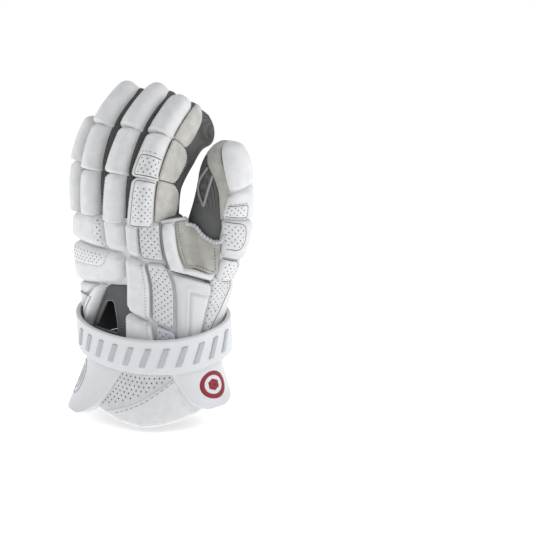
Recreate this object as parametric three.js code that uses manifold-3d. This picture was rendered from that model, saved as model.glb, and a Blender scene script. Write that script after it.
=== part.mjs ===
// A padded lacrosse glove for the left hand, standing on its cuff with the fingers up.
// Millimetres. +Z runs to the fingertips, -Y is the back of the hand, +X is the thumb side.
// The origin is the middle of the wrist opening, level with the lowest point of the cuff.
import * as THREE from 'three';
import Module from 'manifold-3d';
import { mergeVertices } from 'three/addons/utils/BufferGeometryUtils.js';

const wasm = await Module();
wasm.setup();

// Driving sizes of the hand part
const CUFF_LENGTH = 63;
const PALM_LENGTH = 122;
const HAND_DEPTH = 86;
const HAND_MARGIN = 3;
const LINER_WALL = 2.4;

// Driving sizes of the fingers and the thumb
const FINGER_WIDTH = 23;
const FINGER_SPACE = 5.5;
const FINGER_DEPTH = 36;
const INDEX_LENGTH = 119;
const MIDDLE_LENGTH = 127;
const RING_LENGTH = 119;
const PINKY_LENGTH = 84;
const THUMB_LENGTH = 153;
const THUMB_WIDTH = 44;
const THUMB_DEPTH = 54;
const SHEATH_WALL = 2;

// Driving sizes of the cuff and the strap
const CUFF_WIDTH = 148;
const CUFF_DEPTH = 114;
const CUFF_WALL = 3;
const CUFF_EDGE_RISE = 50;
const STRAP_STANDOFF = 16;
const STRAP_THUMB_STANDOFF = 8;
const STRAP_WALL = 4.5;
const STRAP_HEIGHT = 31;
const STRAP_LEVEL = 14;
const STRAP_TILT = 11;
const STRAP_TILT_TOWARDS = 30;
const TAB_HEIGHT = 7;

// Driving heights of the padding above the layer that carries it
const FINGER_ROLL_HEIGHT = 12;
const BACK_ROLL_HEIGHT = 9;
const THUMB_ROLL_HEIGHT = 7;
const FRAME_ROLL_HEIGHT = 7;
const VENT_PANEL_HEIGHT = 5.5;
const GUARD_HEIGHT = 6.5;
const SUEDE_HEIGHT = 3;
const GUSSET_HEIGHT = 2.5;

// Clearances
const REST_GAP = 0.4;
const SEAM_GAP = 1;

// Sizes that follow from the driving sizes
const FINGER_PITCH = FINGER_WIDTH + FINGER_SPACE;
const HAND_WIDTH = 4 * FINGER_PITCH + HAND_MARGIN;
const HAND_TOP = CUFF_LENGTH + PALM_LENGTH;
const SEAM_OVERRUN = 0.2;

// How round the sections are: 2 is an ellipse, more is boxier
const BACK_ROUNDNESS = 2.1;
const PALM_ROUNDNESS = 2.5;
const THENAR_ROUNDNESS = 2.01;
const FINGER_ROUNDNESS = 2.3;
const THUMB_ROUNDNESS = 2.2;

// Faceting
const SECTION_POINT_COUNT = 120;
const PATH_STEP_COUNT = 48;
const HAND_SIDE_COUNT = 24;
const HAND_STEP_COUNT = 5;
const FINGER_SIDE_COUNT = 12;
const THUMB_SIDE_COUNT = 14;
const STRAP_SIDE_COUNT = 32;

// Palm sections from the wrist (0) to the finger roots (1). Shift across and half width are
// shares of HAND_WIDTH. Shift towards the palm and both half depths are shares of HAND_DEPTH.
const PALM_SECTIONS = [
  { at: 0.00, across: 0.010, palmward: 0.000, half: 0.500, back: 0.530, palm: 0.465 },
  { at: 0.25, across: -0.025, palmward: -0.045, half: 0.500, back: 0.440, palm: 0.420 },
  { at: 0.53, across: -0.070, palmward: -0.115, half: 0.505, back: 0.370, palm: 0.340 },
  { at: 0.78, across: -0.100, palmward: -0.160, half: 0.505, back: 0.325, palm: 0.255 },
  { at: 1.00, across: -0.110, palmward: -0.175, half: 0.500, back: 0.290, palm: 0.210 },
];

// The ball of the thumb, in the same shares
const THENAR_SECTIONS = [
  { at: 0.00, across: 0.256, palmward: 0.090, half: 0.222, back: 0.325, palm: 0.325 },
  { at: 0.28, across: 0.325, palmward: 0.185, half: 0.205, back: 0.325, palm: 0.325 },
  { at: 0.53, across: 0.368, palmward: 0.230, half: 0.197, back: 0.325, palm: 0.325 },
  { at: 0.75, across: 0.290, palmward: 0.070, half: 0.154, back: 0.210, palm: 0.210 },
  { at: 1.00, across: 0.170, palmward: -0.070, half: 0.120, back: 0.163, palm: 0.163 },
];

// Cuff sections from the mouth (0) to the wrist (1): flare is 0 at the wrist's own size
// and 1 at CUFF_WIDTH and CUFF_DEPTH.
const CUFF_SECTIONS = [
  { at: 0.00, flare: 0.92 },
  { at: 0.25, flare: 0.74 },
  { at: 0.65, flare: 0.29 },
  { at: 1.00, flare: 0.00 },
];
const CUFF_BACK_SHARE = 0.555;
const CUFF_LOW_POINT = 0.10;

// Fingers: root across in finger pitches, palmward in HAND_DEPTH and up in PALM_LENGTH, the
// way the back of the finger faces and its splay in degrees, the palm side's half depth as a
// share of FINGER_DEPTH, the bend in degrees at BEND_STATIONS, and where each roll starts.
const BEND_STATIONS = [0, 0.15, 0.43, 0.78, 1];
const FINGERS = [
  {
    name: 'index', length: INDEX_LENGTH, across: 0.92, palmward: -0.25, up: 0.967,
    facing: 4, splay: 1, palm: 0.88, bend: [3, 6, 28, 47, 56], rolls: [0.0, 0.31, 0.62],
  },
  {
    name: 'middle', length: MIDDLE_LENGTH, across: 0, palmward: -0.314, up: 0.992,
    facing: 0, splay: 0, palm: 0.611, bend: [0, 4, 26, 51, 62], rolls: [0.0, 0.29, 0.58],
  },
  {
    name: 'ring', length: RING_LENGTH, across: -1, palmward: -0.302, up: 1.016,
    facing: -10, splay: -1, palm: 0.556, bend: [-2, 0, 18, 45, 56], rolls: [0.0, 0.30, 0.60],
  },
  {
    name: 'pinky', length: PINKY_LENGTH, across: -1.93, palmward: -0.21, up: 0.984,
    facing: -22, splay: -2, palm: 0.5, bend: [-4, -2, 8, 26, 35], rolls: [0.02, 0.5],
  },
];
const FINGER_BACK_SHARE = 0.333;
const FINGERTIP_START = 0.87;
const FINGER_ROLL_END = 0.985;
const FINGER_ROLL = { left: -0.18, right: 0.088 };
const SIDE_PANEL = { left: 0.1, right: 0.36 };
const FINGER_ROOT_DIP = 4;

// Thumb: its root as shares of HAND_WIDTH, HAND_DEPTH and PALM_LENGTH, then the way out
// along its length in shares of THUMB_LENGTH, with half width in shares of THUMB_WIDTH
// and half depths in shares of THUMB_DEPTH.
const THUMB_ROOT = { across: 0.308, palmward: 0.198, up: 0.287 };
const THUMB_SECTIONS = [
  { at: 0.00, across: 0.000, palmward: 0.000, up: 0.00, half: 0.386, back: 0.37, palm: 0.37 },
  { at: 0.30, across: 0.078, palmward: 0.046, up: 0.23, half: 0.500, back: 0.39, palm: 0.54 },
  { at: 0.55, across: 0.150, palmward: 0.098, up: 0.47, half: 0.477, back: 0.41, palm: 0.58 },
  { at: 0.78, across: 0.170, palmward: 0.124, up: 0.72, half: 0.455, back: 0.35, palm: 0.49 },
  { at: 1.00, across: 0.170, palmward: 0.137, up: 1.00, half: 0.386, back: 0.30, palm: 0.41 },
];
const THUMB_FACING = 130;
const THUMB_TIP_START = 0.84;

// Patches of padding. Each row runs from the patch's lower edge to its upper one and gives
// the left and the right end: around as a share of the girth from the middle of the back
// towards the thumb side, and up as a share of the length.
const row = (left, leftUp, right, rightUp) => ({ left, leftUp, right, rightUp });

const HAND_PATCHES = [
  { name: 'knuckle_roll_pinky', height: BACK_ROLL_HEIGHT, slot: 'white_leather',
    rows: [row(-0.195, 0.775, 0.004, 0.750), row(-0.200, 0.985, -0.016, 0.995)] },
  { name: 'knuckle_roll_middle', height: BACK_ROLL_HEIGHT, slot: 'white_leather',
    rows: [row(0.010, 0.752, 0.089, 0.748), row(-0.010, 0.995, 0.088, 0.985)] },
  { name: 'knuckle_roll_index', height: BACK_ROLL_HEIGHT, slot: 'white_leather',
    rows: [row(0.092, 0.742, 0.131, 0.710), row(0.091, 0.985, 0.137, 0.980)] },
  { name: 'knuckle_vent_index', height: VENT_PANEL_HEIGHT, slot: 'perforated_leather',
    rows: [row(0.132, 0.705, 0.182, 0.695), row(0.138, 0.980, 0.194, 0.985)] },
  { name: 'backhand_roll_ulnar', height: BACK_ROLL_HEIGHT, slot: 'white_leather',
    rows: [row(-0.200, 0.430, 0.066, 0.515), row(-0.195, 0.760, 0.088, 0.735)] },
  { name: 'backhand_chevron_roll', height: BACK_ROLL_HEIGHT, slot: 'white_leather', tucked: true,
    rows: [row(-0.262, 0.060, -0.227, 0.060), row(-0.215, 0.415, -0.043, 0.470)] },
  { name: 'backhand_diagonal_roll', height: BACK_ROLL_HEIGHT, slot: 'white_leather', tucked: true,
    rows: [row(-0.224, 0.060, -0.130, 0.060), row(-0.040, 0.472, -0.009, 0.480)] },
  { name: 'backhand_column', height: BACK_ROLL_HEIGHT, slot: 'white_leather',
    rows: [row(0.066, 0.317, 0.125, 0.246), row(0.090, 0.728, 0.137, 0.695)] },
  { name: 'backhand_column_lower', height: BACK_ROLL_HEIGHT, slot: 'white_leather', tucked: true,
    rows: [row(0.055, 0.060, 0.127, 0.060), row(0.065, 0.308, 0.125, 0.238)] },
  { name: 'backhand_vent_panel', height: VENT_PANEL_HEIGHT, slot: 'perforated_leather',
    rows: [row(0.128, 0.240, 0.177, 0.175), row(0.140, 0.690, 0.181, 0.680)] },
  { name: 'backhand_strip_lower', height: VENT_PANEL_HEIGHT, slot: 'perforated_leather', tucked: true,
    rows: [row(0.129, 0.060, 0.176, 0.060), row(0.128, 0.230, 0.177, 0.165)] },
  { name: 'saddle_frame', height: FRAME_ROLL_HEIGHT, slot: 'white_leather',
    rows: [row(0.184, 0.655, 0.221, 0.650), row(0.198, 0.985, 0.238, 0.985)] },
  { name: 'saddle_bar', height: FRAME_ROLL_HEIGHT, slot: 'white_leather',
    rows: [row(0.183, 0.590, 0.273, 0.510), row(0.183, 0.642, 0.285, 0.585)] },
  { name: 'thumb_saddle', height: SUEDE_HEIGHT, slot: 'grey_suede',
    rows: [
      row(0.224, 0.655, 0.286, 0.605), row(0.227, 0.720, 0.311, 0.670),
      row(0.234, 0.850, 0.298, 0.830), row(0.241, 0.985, 0.297, 0.985),
    ] },
  { name: 'thumb_guard', height: GUARD_HEIGHT, slot: 'guard_plate', tucked: true,
    rows: [row(0.179, 0.060, 0.240, 0.060), row(0.183, 0.585, 0.277, 0.500)] },
  { name: 'thumb_wrist_panel', height: VENT_PANEL_HEIGHT, slot: 'perforated_leather', tucked: true,
    rows: [
      row(0.243, 0.060, 0.360, 0.060), row(0.262, 0.350, 0.370, 0.340),
      row(0.283, 0.550, 0.372, 0.480),
    ] },
];

const GUSSET_ROWS = [row(-0.127, 0.060, 0.052, 0.060), row(-0.006, 0.480, 0.064, 0.500)];
const VENT_HOLE_ROWS = [row(-0.096, 0.130, 0.012, 0.130), row(-0.026, 0.350, 0.003, 0.358)];

const THUMB_PATCHES = [
  { name: 'thumb_roll_root', height: THUMB_ROLL_HEIGHT, slot: 'white_leather',
    rows: [row(-0.200, 0.320, 0.150, 0.330), row(-0.210, 0.425, 0.178, 0.435)] },
  { name: 'thumb_roll_base', height: THUMB_ROLL_HEIGHT, slot: 'perforated_leather',
    rows: [row(-0.215, 0.435, 0.188, 0.445), row(-0.225, 0.630, 0.232, 0.635)] },
  { name: 'thumb_roll_mid', height: THUMB_ROLL_HEIGHT, slot: 'white_leather',
    rows: [row(-0.225, 0.640, 0.236, 0.645), row(-0.215, 0.850, 0.245, 0.765)] },
  { name: 'thumb_roll_tip', height: THUMB_ROLL_HEIGHT, slot: 'white_leather',
    rows: [row(-0.215, 0.862, 0.252, 0.777), row(-0.210, 0.985, 0.330, 0.985)] },
  { name: 'thumb_edge', height: SUEDE_HEIGHT, slot: 'grey_suede',
    rows: [
      row(0.240, 0.520, 0.300, 0.520), row(0.256, 0.700, 0.325, 0.700),
      row(0.275, 0.800, 0.355, 0.800), row(0.345, 0.975, 0.430, 0.975),
    ] },
];

const CUFF_PATCHES = [
  { name: 'cuff_tab_ulnar', height: TAB_HEIGHT, slot: 'white_leather', tucked: true,
    rows: [
      row(-0.120, 0.010, -0.065, 0.020), row(-0.165, 0.110, -0.028, 0.140),
      row(-0.190, 0.330, 0.000, 0.340), row(-0.200, 0.990, 0.055, 0.990),
    ] },
  { name: 'cuff_tab_radial', height: TAB_HEIGHT, slot: 'white_leather', tucked: true,
    rows: [
      row(0.235, 0.210, 0.285, 0.220), row(0.207, 0.300, 0.330, 0.310),
      row(0.185, 0.480, 0.355, 0.460), row(0.140, 0.990, 0.375, 0.990),
    ] },
];

const MATERIALS = {
  white_leather: { color: 0xe4e7ea, roughness: 0.55, metalness: 0 },
  perforated_leather: { color: 0xd9dcde, roughness: 0.65, metalness: 0 },
  grey_suede: { color: 0xa8a6a0, roughness: 0.95, metalness: 0 },
  dark_mesh: { color: 0x46484b, roughness: 0.9, metalness: 0 },
  palm_leather: { color: 0x8d8f91, roughness: 0.85, metalness: 0 },
  grey_gusset: { color: 0x6c6f72, roughness: 0.8, metalness: 0 },
  guard_plate: { color: 0xe9ebee, roughness: 0.4, metalness: 0 },
  strap_rubber: { color: 0xeceef0, roughness: 0.45, metalness: 0 },
};

const radians = THREE.MathUtils.degToRad;
const UP = new THREE.Vector3(0, 0, 1);
const BACK = new THREE.Vector3(0, -1, 0);
const THUMBWARD = new THREE.Vector3(1, 0, 0);

// A column of a table at any station: a cubic through the rows, straight on beyond the ends
function column(table, key, at) {
  const last = table.length - 1;
  const slope = (k) => {
    const low = table[Math.max(k - 1, 0)];
    const high = table[Math.min(k + 1, last)];
    return (high[key] - low[key]) / (high.at - low.at);
  };
  if (at <= table[0].at) return table[0][key] + slope(0) * (at - table[0].at);
  if (at >= table[last].at) return table[last][key] + slope(last) * (at - table[last].at);
  let i = 0;
  while (at > table[i + 1].at) i += 1;
  const span = table[i + 1].at - table[i].at;
  const t = (at - table[i].at) / span;
  const start = (1 + 2 * t) * (1 - t) ** 2 * table[i][key] + t * (1 - t) ** 2 * span * slope(i);
  const end = t * t * (3 - 2 * t) * table[i + 1][key] - t * t * (1 - t) * span * slope(i + 1);
  return start + end;
}

// The reach of a rounded section along one outward direction, and the point that reaches it
function lobeReach(lobe, sin, cos) {
  const depth = cos > 0 ? lobe.back : lobe.palm;
  const power = cos > 0 ? lobe.backRound : lobe.palmRound;
  const dual = power / (power - 1);
  const reach = ((lobe.half * Math.abs(sin)) ** dual + (depth * Math.abs(cos)) ** dual) ** (1 / dual);
  const x = Math.sign(sin) * lobe.half ** dual * Math.abs(sin) ** (dual - 1) / reach ** (dual - 1);
  const y = Math.sign(cos) * depth ** dual * Math.abs(cos) ** (dual - 1) / reach ** (dual - 1);
  return {
    x: x + lobe.across,
    y: y + lobe.backward,
    reach: reach + lobe.across * sin + lobe.backward * cos,
  };
}

// One section of a tube: points around it, by the way they face, with the length around from
// the middle of the back. Several lobes join in one outline with a soft hollow between them.
const LOBE_BLEND = 6.5;
function sectionOutline(lobes) {
  const outline = [];
  for (let k = 0; k <= SECTION_POINT_COUNT; k += 1) {
    const angle = -Math.PI + 2 * Math.PI * k / SECTION_POINT_COUNT;
    const sin = Math.sin(angle);
    const cos = Math.cos(angle);
    const reaches = lobes.map((lobe) => lobeReach(lobe, sin, cos));
    const top = Math.max(...reaches.map((r) => r.reach));
    const weights = reaches.map((r) => Math.exp((r.reach - top) / LOBE_BLEND));
    const total = weights.reduce((sum, w) => sum + w, 0);
    const mean = (pick) => reaches.reduce((sum, r, i) => sum + pick(r) * weights[i], 0) / total;
    const lift = top + Math.log(total) * LOBE_BLEND - mean((r) => r.reach);
    outline.push({ angle, x: mean((r) => r.x) + lift * sin, y: mean((r) => r.y) + lift * cos });
  }
  let run = 0;
  outline.forEach((point, k) => {
    const before = outline[Math.max(k - 1, 0)];
    run += Math.hypot(point.x - before.x, point.y - before.y);
    point.run = run;
  });
  const middle = outline[SECTION_POINT_COUNT / 2].run;
  outline.forEach((point) => { point.run -= middle; });
  return outline;
}

// A tube is a frame that travels along a path and the lobes of its section at each station
class Tube {
  constructor(frameAt, lobesAt) {
    this.frameAt = frameAt;
    this.lobesAt = lobesAt;
    this.kept = new Map();
  }

  section(along) {
    const key = along.toFixed(6);
    if (!this.kept.has(key)) {
      const outline = sectionOutline(this.lobesAt(along));
      const first = outline[0].run;
      const girth = outline[SECTION_POINT_COUNT].run - first;
      this.kept.set(key, { frame: this.frameAt(along), outline, first, girth });
    }
    return this.kept.get(key);
  }

  // The point at a share around and a share along, lifted above the surface. A lift that is
  // steered to the back keeps the sides of a pad upright.
  point(around, along, lift = 0, steer = 0) {
    const { frame, outline, first, girth } = this.section(along);
    let run = around * girth;
    if (run < first) run += girth;
    if (run > first + girth) run -= girth;
    let k = 0;
    while (k < SECTION_POINT_COUNT - 1 && outline[k + 1].run < run) k += 1;
    const a = outline[k];
    const b = outline[k + 1];
    const t = (run - a.run) / Math.max(b.run - a.run, 1e-9);
    const angle = a.angle + (b.angle - a.angle) * t;
    const way = new THREE.Vector3()
      .addScaledVector(frame.side, Math.sin(angle) * (1 - steer))
      .addScaledVector(frame.back, Math.cos(angle) * (1 - steer) + steer)
      .normalize();
    return frame.centre.clone()
      .addScaledVector(frame.side, a.x + (b.x - a.x) * t)
      .addScaledVector(frame.back, a.y + (b.y - a.y) * t)
      .addScaledVector(way, lift);
  }
}

function lobe(table, at, width, depth, backRound, palmRound) {
  return {
    across: column(table, 'across', at) * width,
    backward: -column(table, 'palmward', at) * depth,
    half: column(table, 'half', at) * width,
    back: column(table, 'back', at) * depth,
    palm: column(table, 'palm', at) * depth,
    backRound,
    palmRound,
  };
}

const levelFrame = (z) => ({ centre: new THREE.Vector3(0, 0, z), side: THUMBWARD, back: BACK });

const palmLobe = (at) => lobe(PALM_SECTIONS, at, HAND_WIDTH, HAND_DEPTH, BACK_ROUNDNESS, PALM_ROUNDNESS);
const thenarLobe = (at) => lobe(
  THENAR_SECTIONS, at, HAND_WIDTH, HAND_DEPTH, THENAR_ROUNDNESS, THENAR_ROUNDNESS,
);

const hand = new Tube(
  (at) => levelFrame(CUFF_LENGTH + PALM_LENGTH * at),
  (at) => [palmLobe(at), thenarLobe(at)],
);

// The cuff opens from the wrist's own section to its mouth
function cuffLobes(at) {
  const flare = column(CUFF_SECTIONS, 'flare', at);
  const grow = (wrist, mouth) => wrist + (mouth - wrist) * flare;
  const wrist = palmLobe(0);
  const thenar = thenarLobe(0);
  const palm = {
    ...wrist,
    half: grow(wrist.half, CUFF_WIDTH / 2),
    back: grow(wrist.back, CUFF_DEPTH * CUFF_BACK_SHARE),
    palm: grow(wrist.palm, CUFF_DEPTH * (1 - CUFF_BACK_SHARE)),
  };
  const stretch = palm.half / wrist.half;
  return [palm, { ...thenar, across: thenar.across * stretch, half: thenar.half }];
}
const cuff = new Tube((at) => levelFrame(CUFF_LENGTH * at), cuffLobes);

// The strap is a tilted band that stands off the wrist
function strapFrame(at) {
  const lean = radians(STRAP_TILT);
  const towards = radians(STRAP_TILT_TOWARDS);
  const low = new THREE.Vector3(Math.sin(towards), -Math.cos(towards), 0);
  const axis = UP.clone().multiplyScalar(Math.cos(lean)).addScaledVector(low, Math.sin(lean));
  const back = BACK.clone().addScaledVector(axis, -BACK.dot(axis)).normalize();
  const side = axis.clone().cross(back);
  const centre = new THREE.Vector3(0, 0, CUFF_LENGTH + STRAP_LEVEL)
    .addScaledVector(axis, (at - 0.5) * STRAP_HEIGHT);
  return { centre, side, back };
}
const THENAR_UNDER_STRAP = 0.15;
function grownLobe(section, standoff) {
  return {
    ...section,
    half: section.half + standoff,
    back: section.back + standoff,
    palm: section.palm + standoff,
  };
}
const strapLobes = [
  grownLobe(palmLobe(0), STRAP_STANDOFF),
  grownLobe(thenarLobe(THENAR_UNDER_STRAP), STRAP_THUMB_STANDOFF),
];
const strap = new Tube(strapFrame, () => strapLobes);

// A tube along a path of points, with the way its back faces given by a compass angle. With
// a turn of 1 its stations around run thumbward from the back, with -1 the other way.
function pathTube(points, facing, turn, lobesAt) {
  const outward = new THREE.Vector3(Math.sin(radians(facing)), -Math.cos(radians(facing)), 0);
  const last = points.length - 1;
  const tangents = points.map((_, i) => points[Math.min(i + 1, last)].clone()
    .sub(points[Math.max(i - 1, 0)]).normalize());
  const step = points[1].distanceTo(points[0]) * last;
  const frameAt = (along) => {
    const place = Math.min(Math.max(along, 0), 1) * last;
    const i = Math.min(Math.floor(place), last - 1);
    const tangent = tangents[i].clone().lerp(tangents[i + 1], place - i).normalize();
    const beyond = (along - Math.min(Math.max(along, 0), 1)) * step;
    const centre = points[i].clone().lerp(points[i + 1], place - i).addScaledVector(tangent, beyond);
    const side = tangent.clone().cross(outward).normalize();
    const back = side.clone().cross(tangent);
    side.multiplyScalar(turn);
    return { centre, side, back };
  };
  return new Tube(frameAt, lobesAt);
}

const TIP_OVERRUN = 0.005;
const TIP_SMALLEST = 0.15;
function tipTaper(along, start) {
  const past = Math.max(along - start, 0) / (1 + TIP_OVERRUN - start);
  return Math.sqrt(Math.max(1 - past * past, TIP_SMALLEST * TIP_SMALLEST));
}

function fingerTube(finger) {
  const bends = BEND_STATIONS.map((at, i) => ({ at, bend: finger.bend[i] }));
  const facing = radians(finger.facing);
  const palmward = new THREE.Vector3(-Math.sin(facing), Math.cos(facing), 0);
  const sideways = new THREE.Vector3(Math.cos(facing), Math.sin(facing), 0);
  const points = [new THREE.Vector3(
    finger.across * FINGER_PITCH,
    finger.palmward * HAND_DEPTH,
    CUFF_LENGTH + finger.up * PALM_LENGTH,
  )];
  for (let i = 0; i < PATH_STEP_COUNT; i += 1) {
    const bend = radians(column(bends, 'bend', (i + 0.5) / PATH_STEP_COUNT));
    const splay = radians(finger.splay);
    const way = UP.clone().multiplyScalar(Math.cos(bend)).addScaledVector(palmward, Math.sin(bend))
      .multiplyScalar(Math.cos(splay))
      .addScaledVector(sideways, Math.sin(splay));
    points.push(points[i].clone().addScaledVector(way, finger.length / PATH_STEP_COUNT));
  }
  return pathTube(points, finger.facing, 1, (along) => {
    const taper = tipTaper(along, FINGERTIP_START);
    return [{
      across: 0,
      backward: 0,
      half: FINGER_WIDTH / 2 * taper,
      back: FINGER_DEPTH * FINGER_BACK_SHARE * taper,
      palm: FINGER_DEPTH * finger.palm * taper,
      backRound: FINGER_ROUNDNESS,
      palmRound: FINGER_ROUNDNESS,
    }];
  });
}

function thumbTube() {
  const points = [];
  for (let i = 0; i <= PATH_STEP_COUNT; i += 1) {
    const at = i / PATH_STEP_COUNT;
    points.push(new THREE.Vector3(
      THUMB_ROOT.across * HAND_WIDTH + column(THUMB_SECTIONS, 'across', at) * THUMB_LENGTH,
      THUMB_ROOT.palmward * HAND_DEPTH + column(THUMB_SECTIONS, 'palmward', at) * THUMB_LENGTH,
      CUFF_LENGTH + THUMB_ROOT.up * PALM_LENGTH + column(THUMB_SECTIONS, 'up', at) * THUMB_LENGTH,
    ));
  }
  return pathTube(points, THUMB_FACING, -1, (along) => {
    const taper = tipTaper(along, THUMB_TIP_START);
    return [{
      across: 0,
      backward: 0,
      half: column(THUMB_SECTIONS, 'half', along) * THUMB_WIDTH * taper,
      back: column(THUMB_SECTIONS, 'back', along) * THUMB_DEPTH * taper,
      palm: column(THUMB_SECTIONS, 'palm', along) * THUMB_DEPTH * taper,
      backRound: THUMB_ROUNDNESS,
      palmRound: THUMB_ROUNDNESS,
    }];
  });
}

// A closed solid from vertices and triangles, turned so that its faces point out
function solid(points, triangles) {
  let volume = 0;
  for (const [a, b, c] of triangles) {
    volume += points[a].dot(points[b].clone().cross(points[c]));
  }
  const facesOut = volume > 0;
  const triVerts = new Uint32Array(triangles.flatMap(([a, b, c]) => (facesOut ? [a, b, c] : [a, c, b])));
  const vertProperties = new Float32Array(points.flatMap((p) => [p.x, p.y, p.z]));
  return new wasm.Manifold(new wasm.Mesh({ numProp: 3, vertProperties, triVerts }));
}

// A solid tube between two stations, with flat ends
function tubeSolid(tube, stations, lift, sides) {
  const points = [];
  const triangles = [];
  stations.forEach((along) => {
    for (let k = 0; k < sides; k += 1) points.push(tube.point((k + 0.5) / sides - 0.5, along, lift));
  });
  const at = (i, k) => i * sides + (k % sides);
  for (let i = 0; i < stations.length - 1; i += 1) {
    for (let k = 0; k < sides; k += 1) {
      triangles.push([at(i, k), at(i, k + 1), at(i + 1, k + 1)]);
      triangles.push([at(i, k), at(i + 1, k + 1), at(i + 1, k)]);
    }
  }
  const ends = [[0, false], [stations.length - 1, true]];
  ends.forEach(([i, isTop]) => {
    const centre = new THREE.Vector3();
    for (let k = 0; k < sides; k += 1) centre.addScaledVector(points[at(i, k)], 1 / sides);
    const middle = points.push(centre) - 1;
    for (let k = 0; k < sides; k += 1) {
      const rim = [at(i, k), at(i, k + 1)];
      triangles.push(isTop ? [...rim, middle] : [rim[1], rim[0], middle]);
    }
  });
  return solid(points, triangles);
}

function stationsBetween(start, end, steps) {
  return Array.from({ length: steps + 1 }, (_, i) => start + (end - start) * i / steps);
}

// Where a patch's rows lie at shares s across and t up, both from 0 to 1
function patchPlace(rows, s, t) {
  const place = t * (rows.length - 1);
  const i = Math.min(Math.max(Math.floor(place), 0), rows.length - 2);
  const mix = (key) => rows[i][key] + (rows[i + 1][key] - rows[i][key]) * (place - i);
  const left = mix('left');
  const leftUp = mix('leftUp');
  return { around: left + (mix('right') - left) * s, along: leftUp + (mix('rightUp') - leftUp) * s };
}

// A pad on a tube: a closed patch with a crowned top, its edges drawn in by half a seam gap.
// It reaches below the surface and is cut to it afterwards. A tucked pad keeps its full
// height at its lower edge, where the strap covers it.
const ACROSS_STATIONS = [0, 0.14, 0.5, 0.86, 1];
const UP_STATIONS = [0, 0.1, 0.34, 0.66, 0.9, 1];
const PAD_ROOT = 1.5;
const CROWN_ROUNDNESS = 4;
const EDGE_HEIGHT_SHARE = 0.4;
const TUCK_SHARE = 1.5;
function crown(x) {
  return Math.sqrt(1 - Math.abs(2 * x - 1) ** CROWN_ROUNDNESS);
}

function padHeight(patch, s, t) {
  const lowerEdge = patch.tucked && t < 0.5 ? 1 : crown(t);
  const share = EDGE_HEIGHT_SHARE + (1 - EDGE_HEIGHT_SHARE) * crown(s) * lowerEdge;
  const tuck = patch.tucked ? 1 + (TUCK_SHARE - 1) * Math.max(1 - 2 * t, 0) ** 2 : 1;
  return patch.height * share * tuck;
}

function patchSolid(tube, patch, grow = 0, floor = -PAD_ROOT) {
  const steer = patch.steer ?? 0;
  const surface = (s, t, lift = 0) => {
    const { around, along } = patchPlace(patch.rows, s, t);
    return tube.point(around, along, lift, steer);
  };
  const draw = SEAM_GAP / 2 - grow;
  const drawUp = draw / surface(0.5, 0).distanceTo(surface(0.5, 1));
  const points = [];
  [true, false].forEach((isTop) => {
    UP_STATIONS.forEach((t) => {
      const up = drawUp + t * (1 - 2 * drawUp);
      const drawIn = draw / surface(0, up).distanceTo(surface(1, up));
      ACROSS_STATIONS.forEach((s) => {
        const lift = isTop ? padHeight(patch, s, t) + grow : floor;
        points.push(surface(drawIn + s * (1 - 2 * drawIn), up, lift));
      });
    });
  });
  const columns = ACROSS_STATIONS.length;
  const right = columns - 1;
  const top = UP_STATIONS.length - 1;
  const at = (isTop, i, j) => (isTop ? 0 : columns * UP_STATIONS.length) + i * columns + j;
  const triangles = [];
  const quad = (a, b, c, d) => triangles.push([a, b, c], [a, c, d]);
  for (let i = 0; i < top; i += 1) {
    for (let j = 0; j < right; j += 1) {
      quad(at(true, i, j), at(true, i, j + 1), at(true, i + 1, j + 1), at(true, i + 1, j));
      quad(at(false, i, j), at(false, i + 1, j), at(false, i + 1, j + 1), at(false, i, j + 1));
    }
    quad(at(true, i, 0), at(true, i + 1, 0), at(false, i + 1, 0), at(false, i, 0));
    quad(at(true, i + 1, right), at(true, i, right), at(false, i, right), at(false, i + 1, right));
  }
  for (let j = 0; j < right; j += 1) {
    quad(at(true, 0, j + 1), at(true, 0, j), at(false, 0, j), at(false, 0, j + 1));
    quad(at(true, top, j), at(true, top, j + 1), at(false, top, j + 1), at(false, top, j));
  }
  return solid(points, triangles);
}

const without = (body, cutters) => cutters.reduce((left, cutter) => left.subtract(cutter), body);

const group = new THREE.Group();

function addMesh(name, body, slot) {
  const { vertProperties, triVerts, numProp } = body.getMesh();
  const positions = new Float32Array(vertProperties.length / numProp * 3);
  for (let i = 0; i < positions.length; i += 1) {
    positions[i] = vertProperties[Math.floor(i / 3) * numProp + i % 3];
  }
  const geometry = new THREE.BufferGeometry();
  geometry.setAttribute('position', new THREE.BufferAttribute(positions, 3));
  geometry.setIndex([...triVerts]);
  const merged = mergeVertices(geometry);
  merged.computeVertexNormals();
  const mesh = new THREE.Mesh(merged, new THREE.MeshStandardMaterial(MATERIALS[slot]));
  mesh.name = name;
  group.add(mesh);
}

// Solids that several pieces are cut by
const handOuter = tubeSolid(hand, stationsBetween(0, 1, HAND_STEP_COUNT), 0, HAND_SIDE_COUNT);
const handGrown = tubeSolid(
  hand, stationsBetween(0, 1 + REST_GAP / PALM_LENGTH, HAND_STEP_COUNT), REST_GAP, HAND_SIDE_COUNT,
);
const handInner = tubeSolid(
  hand, stationsBetween(-LINER_WALL / PALM_LENGTH, 1 - LINER_WALL / PALM_LENGTH, HAND_STEP_COUNT),
  -LINER_WALL, HAND_SIDE_COUNT,
);
const thumb = thumbTube();
const THUMB_STATIONS = [0, 0.2, 0.38, 0.55, 0.7, 0.84, 0.94, 1];
const thumbOuter = tubeSolid(thumb, THUMB_STATIONS, 0, THUMB_SIDE_COUNT);
const thumbGrown = tubeSolid(thumb, THUMB_STATIONS, REST_GAP, THUMB_SIDE_COUNT);
const thumbInnerScale = 1 - SHEATH_WALL / THUMB_LENGTH;
const thumbInner = tubeSolid(
  thumb, THUMB_STATIONS.map((at) => at * thumbInnerScale), -SHEATH_WALL, THUMB_SIDE_COUNT,
);

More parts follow.
